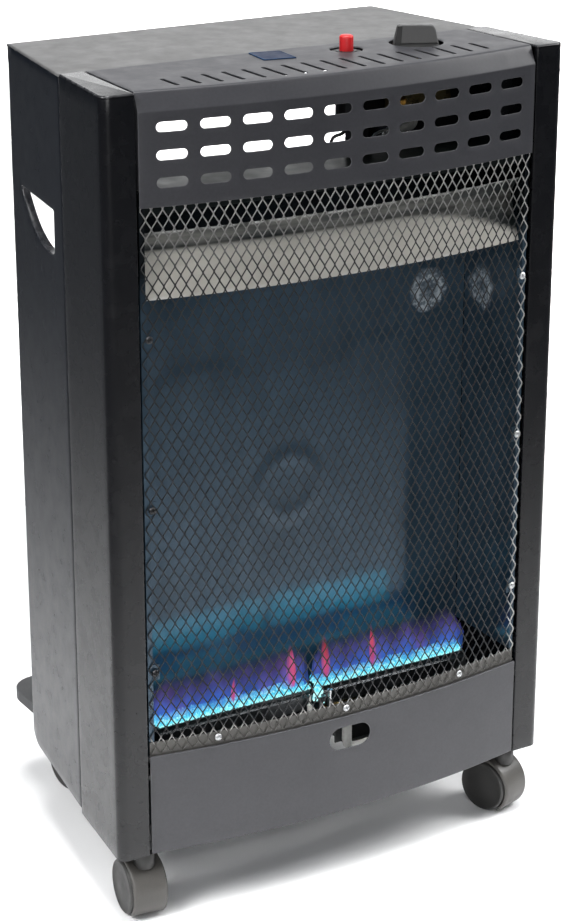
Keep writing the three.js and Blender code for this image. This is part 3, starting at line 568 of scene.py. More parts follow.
def sheet(acc, outline, holes, M, t, us, vs, lip=None, rim=True, near=1.2, hole_lips=None, mi=0):
    """A sheet of thickness t with rolled edges. outline and holes are in the sheet's own plane, M maps (point, depth) to millimetres."""
    lip = lip or ROUND
    outline = ccw(outline)
    holes = [ccw(h) for h in holes]
    hole_lips = hole_lips or [lip] * len(holes)
    o0 = offset(outline, -lip[0][0]) if rim else outline
    h0 = [offset(h, l[0][0]) for h, l in zip(holes, hole_lips)]
    v, f = fill(o0, h0, us, vs, near)
    acc.add([M(p, 0.0) for p in v], f, 0.0, mi)
    last = []
    if rim:
        rings = [[M(p, d) for p in offset(outline, -o)] for o, d in lip] + [[M(p, t) for p in outline]]
        acc.loops(rings, [0.0] + [1.0] * (len(lip) - 1) + [0.3], mi=mi)
    for h, l in zip(holes, hole_lips):
        rings = [[M(p, d) for p in offset(h, o)] for o, d in l]
        edge = [0.0] + [1.0] * (len(l) - 1)
        if l[-1][1] < t:
            rings.append([M(p, t) for p in h])
            edge.append(0.3)
            last.append(h)
        else:
            last.append(offset(h, l[-1][0]))
        acc.loops(rings, edge, mi=mi)
    v, f = fill(outline, last, us, vs, near)
    acc.add([M(p, t) for p in v], [tuple(reversed(x)) for x in f], 0.0, mi)


class Path:
    """Corner points with rounded bends, followed by arc length. side=1 puts the inner face to the left."""

    def __init__(self, pts, radii, side=1, k=6):
        P = [np.array(p, float) for p in pts]
        st = [P[0]]
        for i in range(1, len(P) - 1):
            a, b, c = P[i - 1], P[i], P[i + 1]
            d1, d2 = (a - b) / np.linalg.norm(a - b), (c - b) / np.linalg.norm(c - b)
            half = math.acos(max(-1, min(1, float(d1 @ d2)))) / 2
            r = radii[i - 1]
            if r <= 0:
                st.append(b)
                continue
            L = r / math.tan(half)
            mid = (d1 + d2) / np.linalg.norm(d1 + d2)
            cen = b + mid * (r / math.sin(half))
            s, e = b + d1 * L - cen, b + d2 * L - cen
            ang = math.acos(max(-1, min(1, float(s @ e) / (r * r))))
            for j in range(k + 1):
                w = j / k
                q = (s * math.sin((1 - w) * ang) + e * math.sin(w * ang)) / math.sin(ang)
                st.append(cen + q)
        st.append(P[-1])
        self.p = np.array(st)
        d = np.diff(self.p, axis=0)
        L = np.linalg.norm(d, axis=1)
        self.s = np.concatenate([[0], np.cumsum(L)])
        d = d / L[:, None]
        t = np.vstack([d[:1], d[:-1] + d[1:], d[-1:]])
        t /= np.linalg.norm(t, axis=1)[:, None]
        self.n = np.stack([-t[:, 1], t[:, 0]], 1) * side
        self.dirs = np.stack([-d[:, 1], d[:, 0]], 1) * side

    def at(self, s, depth):
        i = int(np.clip(np.searchsorted(self.s, s, side="right") - 1, 0, len(self.s) - 2))
        w = (s - self.s[i]) / (self.s[i + 1] - self.s[i])
        p = self.p[i] * (1 - w) + self.p[i + 1] * w
        n = self.n[i] * (1 - w) + self.n[i + 1] * w
        c = max(0.5, float((self.n[i] @ self.dirs[i]))) if 0 < i < len(self.s) - 1 else 1
        n = n / np.linalg.norm(n)
        return p + n * depth


def steps(a, b, h):
    n = max(1, int(math.ceil((b - a) / h)))
    return [a + (b - a) * i / n for i in range(n + 1)]


def levels(path, h):
    out = []
    for a, b in zip(path.s[:-1], path.s[1:]):
        out += steps(a, b, h)[:-1]
    return out + [path.s[-1]]


def bar(acc, x0, x1, y0, y1, z0, z1, b=0.3, mi=0):
    """Box with all its edges rolled."""
    rings = []
    for o, z in ((b, z0), (0.0, z0 + b), (0.0, z1 - b), (b, z1)):
        rings.append([(x0 + o, y0 + o, z), (x1 - o, y0 + o, z), (x1 - o, y1 - o, z), (x0 + o, y1 - o, z)])
    acc.loops(rings, [1, 1, 1, 1], mi=mi)
    acc.cap(rings[0][::-1], mi)
    acc.cap(rings[-1], mi)


def lathe(acc, profile, n, place, edge=None, mi=0):
    """profile is (radius, height); place maps a local point to millimetres."""
    rings = [[place((r * math.cos(t), r * math.sin(t), h)) for t in np.linspace(0, 2 * math.pi, n, endpoint=False)] for r, h in profile]
    acc.loops(rings, edge, mi=mi)


def finish_cad(names, mat, bevel=0.0, angle=32):
    for n in names:
        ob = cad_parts[n]
        ob.data.materials.clear()
        ob.data.materials.append(MAT[mat])
        ob.data.polygons.foreach_set("material_index", [0] * len(ob.data.polygons))
        if bevel:
            d = ob.modifiers.new("Planar", "DECIMATE")
            d.decimate_type = "DISSOLVE"
            d.angle_limit = math.radians(1.0)
            b = ob.modifiers.new("Round", "BEVEL")
            b.width = bevel / 1000
            b.segments = 2
            b.limit_method = "ANGLE"
            b.angle_limit = math.radians(angle)
            b.use_clamp_overlap = True
        ob.data.shade_smooth()
        ob.data.set_sharp_from_angle(angle=math.radians(angle))


# ------------------------------------------------------------- corner posts
for side, sx in (("left", -1), ("right", 1)):
    T = 1.3
    inn = plan_at(0, 0)
    path = Path([(inn + 0.0, 4.6), (inn, 0), (FRONT_HALF, 0), (CREASE_HALF, CREASE_Y), (CREASE_IN, CREASE_Y)], [1.6, 8, 1.8], 1, 8)
    a = Acc()
    M = lambda p, d: (sx * path.at(p[0], d)[0], path.at(p[0], d)[1], p[1])
    L = path.s[-1]
    zt = BODY_H - 1.6
    us = levels(path, 7)[1:-1]
    out = refine([(0, 0), (L, 0), (L, zt), (0, zt)], 14)
    # the outline carries the path's own stations at its foot and head
    out = np.array([(s, 0.0) for s in levels(path, 7)] + [(L, z) for z in steps(0, zt, 14)[1:-1]] + [(s, zt) for s in reversed(levels(path, 7))] + [(0, z) for z in reversed(steps(0, zt, 14)[1:-1])])
    sheet(a, out, [], M, T, us, steps(14, zt - 14, 14), lip=[(0.3, 0.0), (0.08, 0.08), (0.0, 0.3)])
    # head: the plan outline with a small roll down to the walls
    plan = ccw([(path.at(s, 0)[0], path.at(s, 0)[1]) for s in path.s])
    rings = []
    for o, d in ((1.8, 0.0), (1.1, 0.10), (0.5, 0.42), (0.12, 1.0), (0.0, 1.75), (0.0, 2.4), (1.2, 2.4), (1.3, 1.5)):
        rings.append([(sx * p[0], p[1], BODY_H - d) for p in offset(plan, -o)])
    a.loops(rings, [0, 0.6, 1, 0.8, 0, 0, 0, 0])
    a.cap(rings[0])
    a.cap(list(reversed(rings[-1])))
    make(f"post_{side}_shell", a.v, a.f, "post", rep=[f"corner_post_{side}"], edge=a.e, sharp=50)

# -------------------------------------------------------------- side panels
for side, sx in (("left", -1), ("right", 1)):
    path = Path([(CREASE_HALF, CREASE_Y), (REAR_HALF, REAR_Y), (172, REAR_Y)], [3.0], 1, 8)
    LEN = math.hypot(REAR_Y - CREASE_Y, CREASE_HALF - REAR_HALF)
    a = Acc()
    M = lambda p, d: (sx * path.at(p[0], d)[0], path.at(p[0], d)[1], p[1])
    S = path.s[-1]
    z0, z1 = 5.0, COVER_H - 1.3
    r = 20
    arc = [(LEN - r + r * math.cos(t), z0 + r + r * math.sin(t)) for t in np.linspace(-math.pi / 2, -0.15, 10)]
    out = [(0.4, z0)] + arc + [(LEN - 2.0, z0 + r + 5), (S, z0 + r + 7), (S, z1), (0.4, z1)]
    out = refine(out, 9)

    def q2(p0, p1, p2, n=7):
        return [((1 - t) ** 2 * p0[0] + 2 * t * (1 - t) * p1[0] + t * t * p2[0], (1 - t) ** 2 * p0[1] + 2 * t * (1 - t) * p1[1] + t * t * p2[1]) for t in np.linspace(0, 1, n)]
    hole = [(27, 541), (27, 511)] + q2((27, 511), (27, 504), (40, 504))[1:] + q2((40, 504), (78, 505.5), (104, 526), 12)[1:] + q2((104, 526), (117, 536), (119.2, 541.2))[1:] + q2((119.2, 541.2), (119.6, 543), (117.5, 543), 4)[1:] + [(29, 543)] + q2((29, 543), (27, 543), (27, 541), 4)[1:-1]
    hole = refine(hole, 4)
    lip = [(1.6, 0.0), (0.95, 0.12), (0.35, 0.55), (0.0, 1.3), (0.0, 7.0), (0.9, 7.0), (1.0, 2.6), (1.6, 1.25), (2.2, 1.0)]
    sheet(a, out, [hole], M, 1.0, steps(6, S - 2, 8) + list(path.s[1:-1]), steps(12, z1 - 8, 10), hole_lips=[lip], lip=[(0.3, 0), (0.08, 0.08), (0, 0.3)])
    make(f"side_{side}_shell", a.v, a.f, "side", rep=[f"side_panel_{side}"], edge=a.e, sharp=50)

# --------------------------------------------------------------- rear cover
a = Acc()
f_ = lambda y: CREASE_HALF + (REAR_HALF - CREASE_HALF) * (y - CREASE_Y) / (REAR_Y - CREASE_Y)
yf, yr = CREASE_Y + 0.5, REAR_Y + 1.5
plan = refine(ccw([(-f_(yf), yf), (f_(yf), yf), (f_(yr) + 0.0, yr), (-f_(yr), yr)]), 12)
rings = []
for o, d in ((2.2, 0.0), (1.3, 0.14), (0.55, 0.55), (0.1, 1.2), (0.0, 1.95)):
    rings.append([(p[0], p[1], COVER_H - d) for p in offset(plan, -o)])
a.loops(rings, [0, 0.5, 1, 0.7, 0])
v, f = fill(offset(plan, -2.2), [], steps(-200, 200, 12), steps(102, 244, 12))
a.add([(p[0], p[1], COVER_H) for p in v], f)
a.loops([rings[-1], [(p[0], p[1], COVER_H - 1.95) for p in offset(plan, -1.0)], [(p[0], p[1], COVER_H - 1.0) for p in offset(plan, -2.4)]])
v, f = fill(offset(plan, -2.4), [], steps(-200, 200, 24), steps(102, 244, 24))
a.add([(p[0], p[1], COVER_H - 1.0) for p in v], [tuple(reversed(t)) for t in f])


bar(a, -REAR_HALF + 1, REAR_HALF - 1, REAR_Y + 0.3, REAR_Y + 1.45, COVER_H - 16, COVER_H - 0.9)
bar(a, -183, 183, yf + 3, yf + 4.2, COVER_H - 22, COVER_H - 0.9)
make("rear_cover", a.v, a.f, "cover", rep=["top_cover"], edge=a.e, sharp=50, weld=0)

# --------------------------------------------------------------------- hood
prof = Path([(BOW_R, HOOD_LOW), (BOW_R, HOOD_CREASE), (BOW_R - HOOD_SET, BODY_H), (BOW_R - 140, BODY_H)], [4, 3.2], 1, 6)


def hood_inv(x, y):
    """Plan point on the hood's top plane to the sheet's own (u, s)."""
    rr = math.hypot(x, BOW_Y - y)
    i = len(prof.s) - 2
    return (BOW_R * math.atan2(x, BOW_Y - y), prof.s[i] + (prof.p[i][0] - rr))


def hood_M(p, d):
    rz = prof.at(p[1], d)
    return bow(p[0], rz[1], rz[0])


a = Acc()
edge_u = BOW_R * math.asin(plan_at(0, 1.8) / BOW_R)
s_top = prof.s[len(prof.s) - 2]
right = []
for s in levels(prof, 6):
    if s <= s_top:
        rr = prof.at(s, 0)[0]
        x = plan_at(BOW_Y - math.sqrt(rr * rr - 190 ** 2), 1.8)
        right.append((BOW_R * math.asin(x / rr), s))
for y in steps(8, CREASE_Y - 0.6, 7):
    right.append(hood_inv(plan_at(y, 1.8), y))
rear = [hood_inv(x, CREASE_Y - 0.6) for x in steps(-plan_at(CREASE_Y, 1.8), plan_at(CREASE_Y, 1.8), 7)[1:-1]]
outline = [(u, 0.0) for u in steps(-right[0][0], right[0][0], 7)[1:-1]] + right + rear[::-1] + [(-u, s) for u, s in right[::-1]]
holes = []
for z in (633.6, 611.3, 589.4):
    for i in range(10):
        x = (i - 4.5) * 36.1
        h = stadium(0, 0, 25.6, 8, 10)
        holes.append(refine([(BOW_R * math.asin((x + p[0]) / BOW_R), p[1] + z - HOOD_LOW) for p in h], 4.5))
for i in range(17):
    x = 0.6 + (i - 8) * 18.5
    y0 = BOW_Y - math.sqrt(975 ** 2 - x * x)
    w, yr_ = 2.05, 38.0
    slot_ = [(x - w, y0)] + [(x + w * math.cos(t), y0 + w * 0.9 * math.sin(t)) for t in np.linspace(math.pi, 2 * math.pi, 6)[1:-1]] + [(x + w, y0), (x + w, yr_)] + [(x + w * math.cos(t), yr_ + w * 0.9 * math.sin(t)) for t in np.linspace(0, math.pi, 6)[1:-1]] + [(x - w, yr_)]
    holes.append(refine([hood_inv(*p) for p in slot_], 5))
for x, y, r, n in ((112.7, 66.6, 23.35, 44), (44.8, 70.0, 14.0, 36)):
    holes.append(np.array([hood_inv(*p) for p in circle(x, y, r, n)]))
lips = [ROUND] * 30 + [[(0.14, 0.0), (0.0, 0.14)]] * 17 + [[(1.0, 0.0), (0.45, 0.15), (0.0, 0.8)]] * 2
vs = [s for s in levels(prof, 5.5)][1:-1] + [prof.s[-2] + k for k in steps(0, 118, 6)[1:]]
sheet(a, outline, holes, hood_M, 0.8, steps(-196, 196, 6), vs, hole_lips=lips, near=1.1)
bar(a, -183, 183, CREASE_Y - 1.3, CREASE_Y - 0.3, 641, BODY_H - 0.5)
for sg in (-1, 1):
    rings = []
    for z in steps(585, BODY_H - 0.9, 7):
        rf = BOW_R - 0.5 - (HOOD_SET * max(0.0, z - HOOD_CREASE) / (BODY_H - HOOD_CREASE))
        ring = []
        for r_, g_ in ((rf, 1.8), (BOW_R - 13, 1.8), (BOW_R - 13, 2.8), (rf, 2.8)):
            x_ = 189.0
            for _ in range(4):
                x_ = plan_at(BOW_Y - math.sqrt(r_ * r_ - x_ * x_), g_)
            ring.append((sg * x_, BOW_Y - math.sqrt(r_ * r_ - x_ * x_), z))
        rings.append(ring)
    a.loops(rings)
    a.cap(rings[0][::-1])
    a.cap(rings[-1])
make("hood_shell", a.v, a.f, "hood", rep=["front_hood"], edge=a.e, sharp=42)

# -------------------------------------------------------------- lower panel
prof2 = Path([(BOW_R - 5, 0), (BOW_R, 0), (BOW_R, 93.0), (BOW_R - 2.2, 93.0), (BOW_R - 2.2, 88.0)], [2.2, 0.9, 0.4], 1, 6)
a = Acc()
lev = levels(prof2, 6)


def low_M(p, d):
    rz = prof2.at(p[1], d)
    return bow(p[0], rz[1], rz[0])


eu = BOW_R * math.asin(plan_at(0, 1.5) / BOW_R)
outline = [(u, 0.0) for u in steps(-eu, eu, 7)] + [(eu, s) for s in lev[1:-1]] + [(u, lev[-1]) for u in reversed(steps(-eu, eu, 7))] + [(-eu, s) for s in reversed(lev[1:-1])]
zs = lambda z: prof2.s[np.argmin(abs(prof2.p[:, 1] - 2.2) + abs(prof2.p[:, 0] - BOW_R))] + (z - 2.2)
win = stadium(-0.5, 72.3, 42, 21, 14)
win = refine([(BOW_R * math.asin(p[0] / BOW_R), zs(p[1])) for p in win], 4)
sheet(a, outline, [win], low_M, 1.0, steps(-188, 188, 6), lev[1:-1], near=0.5, hole_lips=[[(0.6, 0.0), (0.2, 0.12), (0.0, 0.55)]])
# flange behind the guard, set back in the groove; painted light makes its paint lighter than the panel's
rings = []
prof3 = [(BOW_R - 4.6, 86.0), (BOW_R - 4.6, 105.0 - 0.25), (BOW_R - 4.35, 105.0), (BOW_R - 3.65, 105.0), (BOW_R - 3.4, 104.75), (BOW_R - 3.4, 86.0)]
cols = [[bow(u, z, r) for r, z in prof3] for u in steps(-eu + 0.6, eu - 0.6, 5)]
a.loops(cols, None, mi=1)
a.cap(cols[0], 1)
a.cap(cols[-1][::-1], 1)
make("lower_panel_shell", a.v, a.f, None, rep=["lower_front_panel"], edge=a.e, sharp=42, mats=["panel", "ledge"], index=a.mi)

# --------------------------------------------------------------- guard mesh
PX, PZ = 9.5, 15.8
RG = 992.8
ue = BOW_R * math.asin(plan_at(0, 2.4) / BOW_R)
z_lo, z_hi = 94.6, 584.0
x_ph, z_ph = 2.2, 560.0
strands_v, strands_f = [], []
m_lo, m_hi = int(math.floor((z_lo - z_ph) / (PZ / 2))) - 1, int(math.ceil((z_hi - z_ph) / (PZ / 2))) + 1
HW, HT = 0.52, 0.38              # half width and half thickness of a strand
TILT = math.radians(38)
nst = int(2 * ue / (PX / 2)) + 3


def strand(points, tilt):
    """points: (u, z, depth). A flat strip tilted about its own run."""
    k0 = len(strands_v)
    n = len(points)
    P = np.array(points)
    for i in range(n):
        a_, b_ = P[max(i - 1, 0)], P[min(i + 1, n - 1)]
        t = b_ - a_
        t = t / np.linalg.norm(t)
        w = np.array([t[1], -t[0], 0.0])
        w /= np.linalg.norm(w)
        nrm = np.cross(t, w)
        ww = w * math.cos(tilt) + nrm * math.sin(tilt)
        nn = -w * math.sin(tilt) + nrm * math.cos(tilt)
        for sx_, sy_ in ((-1, -0.7), (-0.8, -1), (0.8, -1), (1, -0.7), (1, 0.7), (0.8, 1), (-0.8, 1), (-1, 0.7)):
            q = P[i] + ww * HW * sx_ + nn * HT * sy_
            strands_v.append(bow(q[0], q[1], RG - q[2]))
    for i in range(n - 1):
        for j in range(8):
            a0, a1 = k0 + i * 8 + j, k0 + i * 8 + (j + 1) % 8
            strands_f.append((a0, a1, a1 + 8, a0 + 8))
    strands_f.append(tuple(k0 + j for j in reversed(range(8))))
    strands_f.append(tuple(k0 + (n - 1) * 8 + j for j in range(8)))


jmin = int(math.floor((-ue - x_ph) / (PX / 2))) - 1
jmax = int(math.ceil((ue - x_ph) / (PX / 2))) + 1
rng = random.Random(3)
for j in range(jmin, jmax + 1):
    pts = []
    for m in range(m_lo, m_hi + 1):
        # strand j leans to its right-hand neighbour at rows where j + m is even
        right_ = (j + m) % 2 == 0
        u = x_ph + (j + (0.5 if right_ else -0.5)) * PX / 2 - (0.42 if right_ else -0.42)
        z = z_ph + m * PZ / 2
        dep = -0.28 if right_ else 0.28
        du = rng.uniform(-0.12, 0.12)
        for dz in (-0.9, 0.9):
            pts.append((u + du, z + dz, dep))
    # cut to the sheet
    cut, run = [], []
    for (p, q) in zip(pts[:-1], pts[1:]):
        p, q = np.array(p), np.array(q)
        t0, t1 = 0.0, 1.0
        for ax, lo, hi in ((0, -ue, ue), (1, z_lo, z_hi)):
            d = q[ax] - p[ax]
            if abs(d) < 1e-9:
                if p[ax] < lo or p[ax] > hi:
                    t0, t1 = 1, 0
                continue
            a_, b_ = (lo - p[ax]) / d, (hi - p[ax]) / d
            t0, t1 = max(t0, min(a_, b_)), min(t1, max(a_, b_))
        if t1 - t0 < 1e-6:
            if len(run) > 1:
                cut.append(run)
            run = []
            continue
        if not run:
            run = [tuple(p + (q - p) * t0)]
        run.append(tuple(p + (q - p) * t1))
        if t1 < 1:
            cut.append(run)
            run = []
    if len(run) > 1:
        cut.append(run)
    for run in cut:
        strand(run, TILT if j % 2 else -TILT)
make("guard_lattice", strands_v, strands_f, "guard", rep=["guard_mesh"], weld=0, sharp=60)

# guard screws: domed heads with a cross recess pressed in
for group, spots in {"bottom": [(x, 100.6) for x in (-128.8, -4.5, 120.9)], "left": [(-183.6, z) for z in (170, 316, 462)], "right": [(183.6, z) for z in (170, 316, 462)]}.items():
    for i, (x, z) in enumerate(spots):
        ang = math.asin(x / BOW_R)
        a = Acc()

        def place(p, ang=ang, z=z):
            r = 993.7 + p[2]
            c = (r * math.sin(ang), BOW_Y - r * math.cos(ang), z)
            tx = (math.cos(ang), math.sin(ang), 0)
            return (c[0] + tx[0] * p[0], c[1] + tx[1] * p[0], c[2] + p[1])
        rings = []
        NR = 32
        for r, h in ((0.9, -5.8), (1.45, -5.4), (1.45, 0.0), (3.2, 0.0), (3.3, 0.25), (3.12, 0.75), (2.7, 1.25), (2.15, 1.6), (1.7, 1.75), (1.2, 1.85), (0.7, 1.9), (0.25, 1.9)):
            ring = []
            for t in np.linspace(0, 2 * math.pi, NR, endpoint=False):
                x_, y_ = r * math.cos(t + i * 0.4), r * math.sin(t + i * 0.4)
                hh = h
                if h > 1.5:
                    px_, py_ = r * math.cos(t), r * math.sin(t)
                    if min(abs(px_), abs(py_)) < 0.38 and r < 1.75:
                        hh = h - 0.75
                ring.append(place((x_, y_, hh)))
            rings.append(ring)
        a.loops(rings, [0] * 12)
        a.cap(rings[0][::-1])
        a.cap(rings[-1])
        make(f"screw_{group}_{i + 1}", a.v, a.f, "screw_dark" if group == "left" else "screw", rep=[f"guard_screw_{group}_{i + 1}"], sharp=50)

# ---------------------------------------------------------- combustion box
# back wall, pressed with two round-cornered panels and a disc
a = Acc()


def rr_dist(x, z, x0, x1, z0, z1, r):
    cx, cz = (x0 + x1) / 2, (z0 + z1) / 2
    dx, dz = abs(x - cx) - (x1 - x0) / 2 + r, abs(z - cz) - (z1 - z0) / 2 + r
    return math.hypot(max(dx, 0), max(dz, 0)) + min(max(dx, dz), 0) - r


def press(d, w=14.0):
    t = min(1, max(0, 0.5 - d / w))
    return t * t * (3 - 2 * t)


def back_y(x, z):
    h = 0.0
    for x0, x1 in ((-132, -48), (48, 132)):
        h = max(h, press(rr_dist(x, z, x0, x1, 130, 400, 22)))
    h = max(h, press(math.hypot(x, z - 275) - 34))
    h = max(0.0, h - 0.55 * press(math.hypot(x, z - 275) - 22))
    return BOX_BACK - 1.1 * h


xs, zs_ = steps(-BOX_HALF, BOX_HALF, 3.2), steps(60, ROOF - 1, 3.2)
grid = [[(x, back_y(x, z), z) for x in xs] for z in zs_]
n = len(xs)
v = [p for row in grid for p in row]
f = [(k * n + i, k * n + i + 1, (k + 1) * n + i + 1, (k + 1) * n + i) for k in range(len(zs_) - 1) for i in range(n - 1)]
a.add(v, f)
v2 = [(p[0], p[1] + 1.0, p[2]) for p in v]
a.add(v2, [tuple(reversed(t)) for t in f])
edge_idx = list(range(n)) + [k * n + n - 1 for k in range(1, len(zs_))] + [(len(zs_) - 1) * n + i for i in reversed(range(n - 1))] + [k * n for k in reversed(range(1, len(zs_) - 1))]
a.loops([[v[i] for i in edge_idx], [v2[i] for i in edge_idx]])
make("chamber_back_plate", a.v, a.f, "chamber", rep=["chamber_back"], sharp=45)

# folded deflector: one concave sheet under the roof
dp = Path([(984.6, 547.6), (974.6, 533.5), (986.6, 492.4)], [11], 1, 12)
dp_s = levels(dp, 3)
a = Acc()
ud = BOW_R * math.asin(BOX_HALF / BOW_R)
for dd, flip in ((0.0, False), (0.9, True)):
    rings = []
    for s in dp_s:
        r, z = dp.at(s, dd)
        rings.append([bow(u, z, r) for u in steps(-ud, ud, 6)])
    a.loops(rings if not flip else rings[::-1], None, closed=False)
    if not flip:
        first, last_ = rings[0], rings[-1]
        colL, colR = [r_[0] for r_ in rings], [r_[-1] for r_ in rings]
    else:
        a.loops([first, rings[0]], [1, 1], closed=False)
        a.loops([last_, rings[-1]], [1, 1], closed=False)
        a.loops([colL, [r_[0] for r_ in rings]], None, closed=False)
        a.loops([colR, [r_[-1] for r_ in rings]], None, closed=False)
ob = make("deflector_sheet", a.v, a.f, "deflector", rep=["heat_deflector"], edge=a.e, sharp=60)
# painted shade on the deflector: dark in the fold and over the upper face, which turns down away from the light; the
# dark edge dips and deepens towards the right
painted_shade = []
for v_ in ob.data.vertices:
    z = v_.co.z * 1000 - LIFT
    x = v_.co.x * 1000
    zb = 531.5 - 30 * max(0.0, (x - 50) / 134) ** 2.0
    d = z - zb
    side_f = min(1.0, max(0.0, (x - 60) / 70))
    if d > 0:
        q = 0.87 + 0.13 * side_f + 0.30 * max(0.0, 1 - d / 5.5)
    else:
        q = max(0.0, 1 + d / 4.5) ** 1.5 + 0.10 * max(0.0, 1 + d / 20)
    painted_shade.append(min(1.0, q))
at_ = ob.data.attributes.new("painted_shade", "FLOAT", "POINT")
at_.data.foreach_set("value", np.array(painted_shade, np.float32))

finish_cad(["chamber_side_left", "chamber_side_right"], "chamber", 0.3)
finish_cad(["chamber_roof"], "roof", 0.3)
finish_cad(["chamber_floor", "manifold_bracket", "valve_bracket"], "black", 0.3)
finish_cad(["rear_heat_shield"], "side", 0.3)
finish_cad(["gas_valve", "injector_manifold", "hose_nozzle", "valve_spindle"], "brass", 0.5)
finish_cad(["gas_feed_pipe"], "pipe", 0)
finish_cad(["pilot_pipe", "thermocouple", "valve_collar"], "zinc", 0)
finish_cad(["igniter_housing", "ignition_lead"], "rubber", 0.3)
finish_cad(["spark_electrode"], "ceramic", 0.2)
finish_cad(["pilot_burner"], "burner", 0.2)

# ------------------------------------------------------------------ burners
for name, x0, x1, m0, m1, leg in (("left", -162, -6, -112, 0, -161), ("right", 1, 161, 54, 150, 158.5)):
    a = Acc()
    bar(a, x0, x1, BAND - 11, BAND + 11, 78, 92.4, 1.4)
    bar(a, x0 + 0.8, x1 - 0.8, BAND - 7.4, BAND - 6.2, 91.4, 95.6, 0.3)
    bar(a, x0 + 0.8, x1 - 0.8, BAND + 6.2, BAND + 7.4, 91.4, 95.6, 0.3)
    bar(a, leg, leg + 1.5, BAND - 9, BAND + 9, 26.3, 80, 0.3)
    cx = (m0 + m1) / 2
    bar(a, cx - 8, cx + 8, BAND - 7, BAND + 7, 69, 79, 1.5)
    px = lambda p, m0=m0: (p[2], BAND + p[0], 69 + p[1])
    pr = [(6.0, m0 + 12), (6.0, m0 + 0.8), (6.6, m0), (7.1, m0), (7.5, m0 + 0.6), (7.5, m1 - 1), (6.8, m1), (0.01, m1)] if name == "right" else [(6.0, m1 - 12), (6.0, m1 - 0.8), (6.6, m1), (7.1, m1), (7.5, m1 - 0.6), (7.5, m0 + 1), (6.8, m0), (0.01, m0)]
    lathe(a, [(0.01, pr[0][1])] + pr, 28, px)
    # corrugated ribbons between the two cheeks
    for k, yy in enumerate(np.linspace(BAND - 5.2, BAND + 5.2, 5)):
        top, bot = [], []
        for x in steps(x0 + 1.5, x1 - 1.5, 0.75):
            w = 0.75 * math.sin(2 * math.pi * x / 3.0 + k * math.pi)
            top.append((x, yy + w, 95.8))
            bot.append((x, yy + w, 92.2))
        t2 = [(p[0], p[1] + 0.35, p[2]) for p in top]
        b2 = [(p[0], p[1] + 0.35, p[2]) for p in bot]
        a.loops([bot, top, t2, b2, bot], None, closed=False, mi=1)
    make(f"burner_{name}_tube", a.v, a.f, None, rep=[f"burner_{name}"], edge=a.e, weld=0, mats=["burner", "ribbon"], index=a.mi, sharp=45)

# flames: rows of small inner cones, and a faint mantle above them
rng = random.Random(11)
for name, x0, x1 in (("left", -161, -7), ("right", 2, 160)):
    a = Acc()
    for k, yy in enumerate(np.linspace(BAND - 7.0, BAND + 7.0, 6)):
        x = x0 + (0.8 if k % 2 else 2.0)
        while x < x1 - 0.6:
            h = rng.uniform(4.6, 6.6) * (1.0 + 0.08 * math.sin(x / 7.0))
            r = rng.uniform(1.3, 1.65)
            dx, dy = rng.uniform(-0.4, 0.4), rng.uniform(-0.4, 0.4)
            prf = [(0.35 * r, 96.1), (0.8 * r, 96.5), (r, 97.3), (0.97 * r, 96.1 + h * 0.45), (0.82 * r, 96.1 + h * 0.72), (0.52 * r, 96.1 + h * 0.92), (0.1, 96.1 + h)]
            lean = rng.uniform(-0.5, 0.5)
            rings = [[(x + dx + lean * (z - 96.1) / h + q * math.cos(t), yy + dy + q * math.sin(t), z) for t in np.linspace(0, 2 * math.pi, 7, endpoint=False)] for q, z in prf]
            a.loops(rings)
            a.cap(rings[0][::-1])
            a.cap(rings[-1])
            x += rng.uniform(2.5, 3.1)
    make(f"flame_{name}_jets", a.v, a.f, "jets", weld=0, sharp=180)
    a = Acc()
    for k, yy in enumerate((BAND - 4.5, BAND + 0.5, BAND + 5.0)):
        H = (34, 39, 36)[k]
        rows = []
        xsf = steps(x0, x1, 2.0)
        for x in xsf:
            e = min(1.0, (x - x0 + 1.5) / 9, (x1 - x + 1.5) / 9)
            top = 98 + (H + 4 * math.sin(x * 0.35 + k) + 3 * math.sin(x * 0.93 + 2 * k)) * (0.45 + 0.55 * e)
            col = []
            for w in np.linspace(0, 1, 9):
                th = 0.9 * (1 - w) + 0.1
                off = 1.6 * math.sin(x * 0.21 + w * 2.2 + k)
                col.append((x + 1.2 * w * math.sin(x * 0.4), yy + off * w - th, 97.2 + (top - 97.2) * w))
            for w in np.linspace(1, 0, 9):
                th = 0.9 * (1 - w) + 0.1
                off = 1.6 * math.sin(x * 0.21 + w * 2.2 + k)
                col.append((x + 1.2 * w * math.sin(x * 0.4), yy + off * w + th, 97.2 + (top - 97.2) * w))
            rows.append(col)
        a.loops(rows)
        a.cap(rows[0][::-1])
        a.cap(rows[-1])
    make(f"flame_{name}_mantle", a.v, a.f, "mantle", weld=0, sharp=180)


def tongue(acc, x, y, z0, h, r, lean=0.0):
    rings = []
    for w, q in ((0, 0.25), (0.06, 0.62), (0.18, 0.9), (0.34, 1.0), (0.52, 0.86), (0.7, 0.6), (0.85, 0.34), (0.95, 0.14), (1, 0.03)):
        rings.append([(x + lean * w * w + r * q * math.cos(t), y + 0.8 * r * q * math.sin(t), z0 + h * w) for t in np.linspace(0, 2 * math.pi, 14, endpoint=False)])
    acc.loops(rings)
    acc.cap(rings[0][::-1])
    acc.cap(rings[-1])


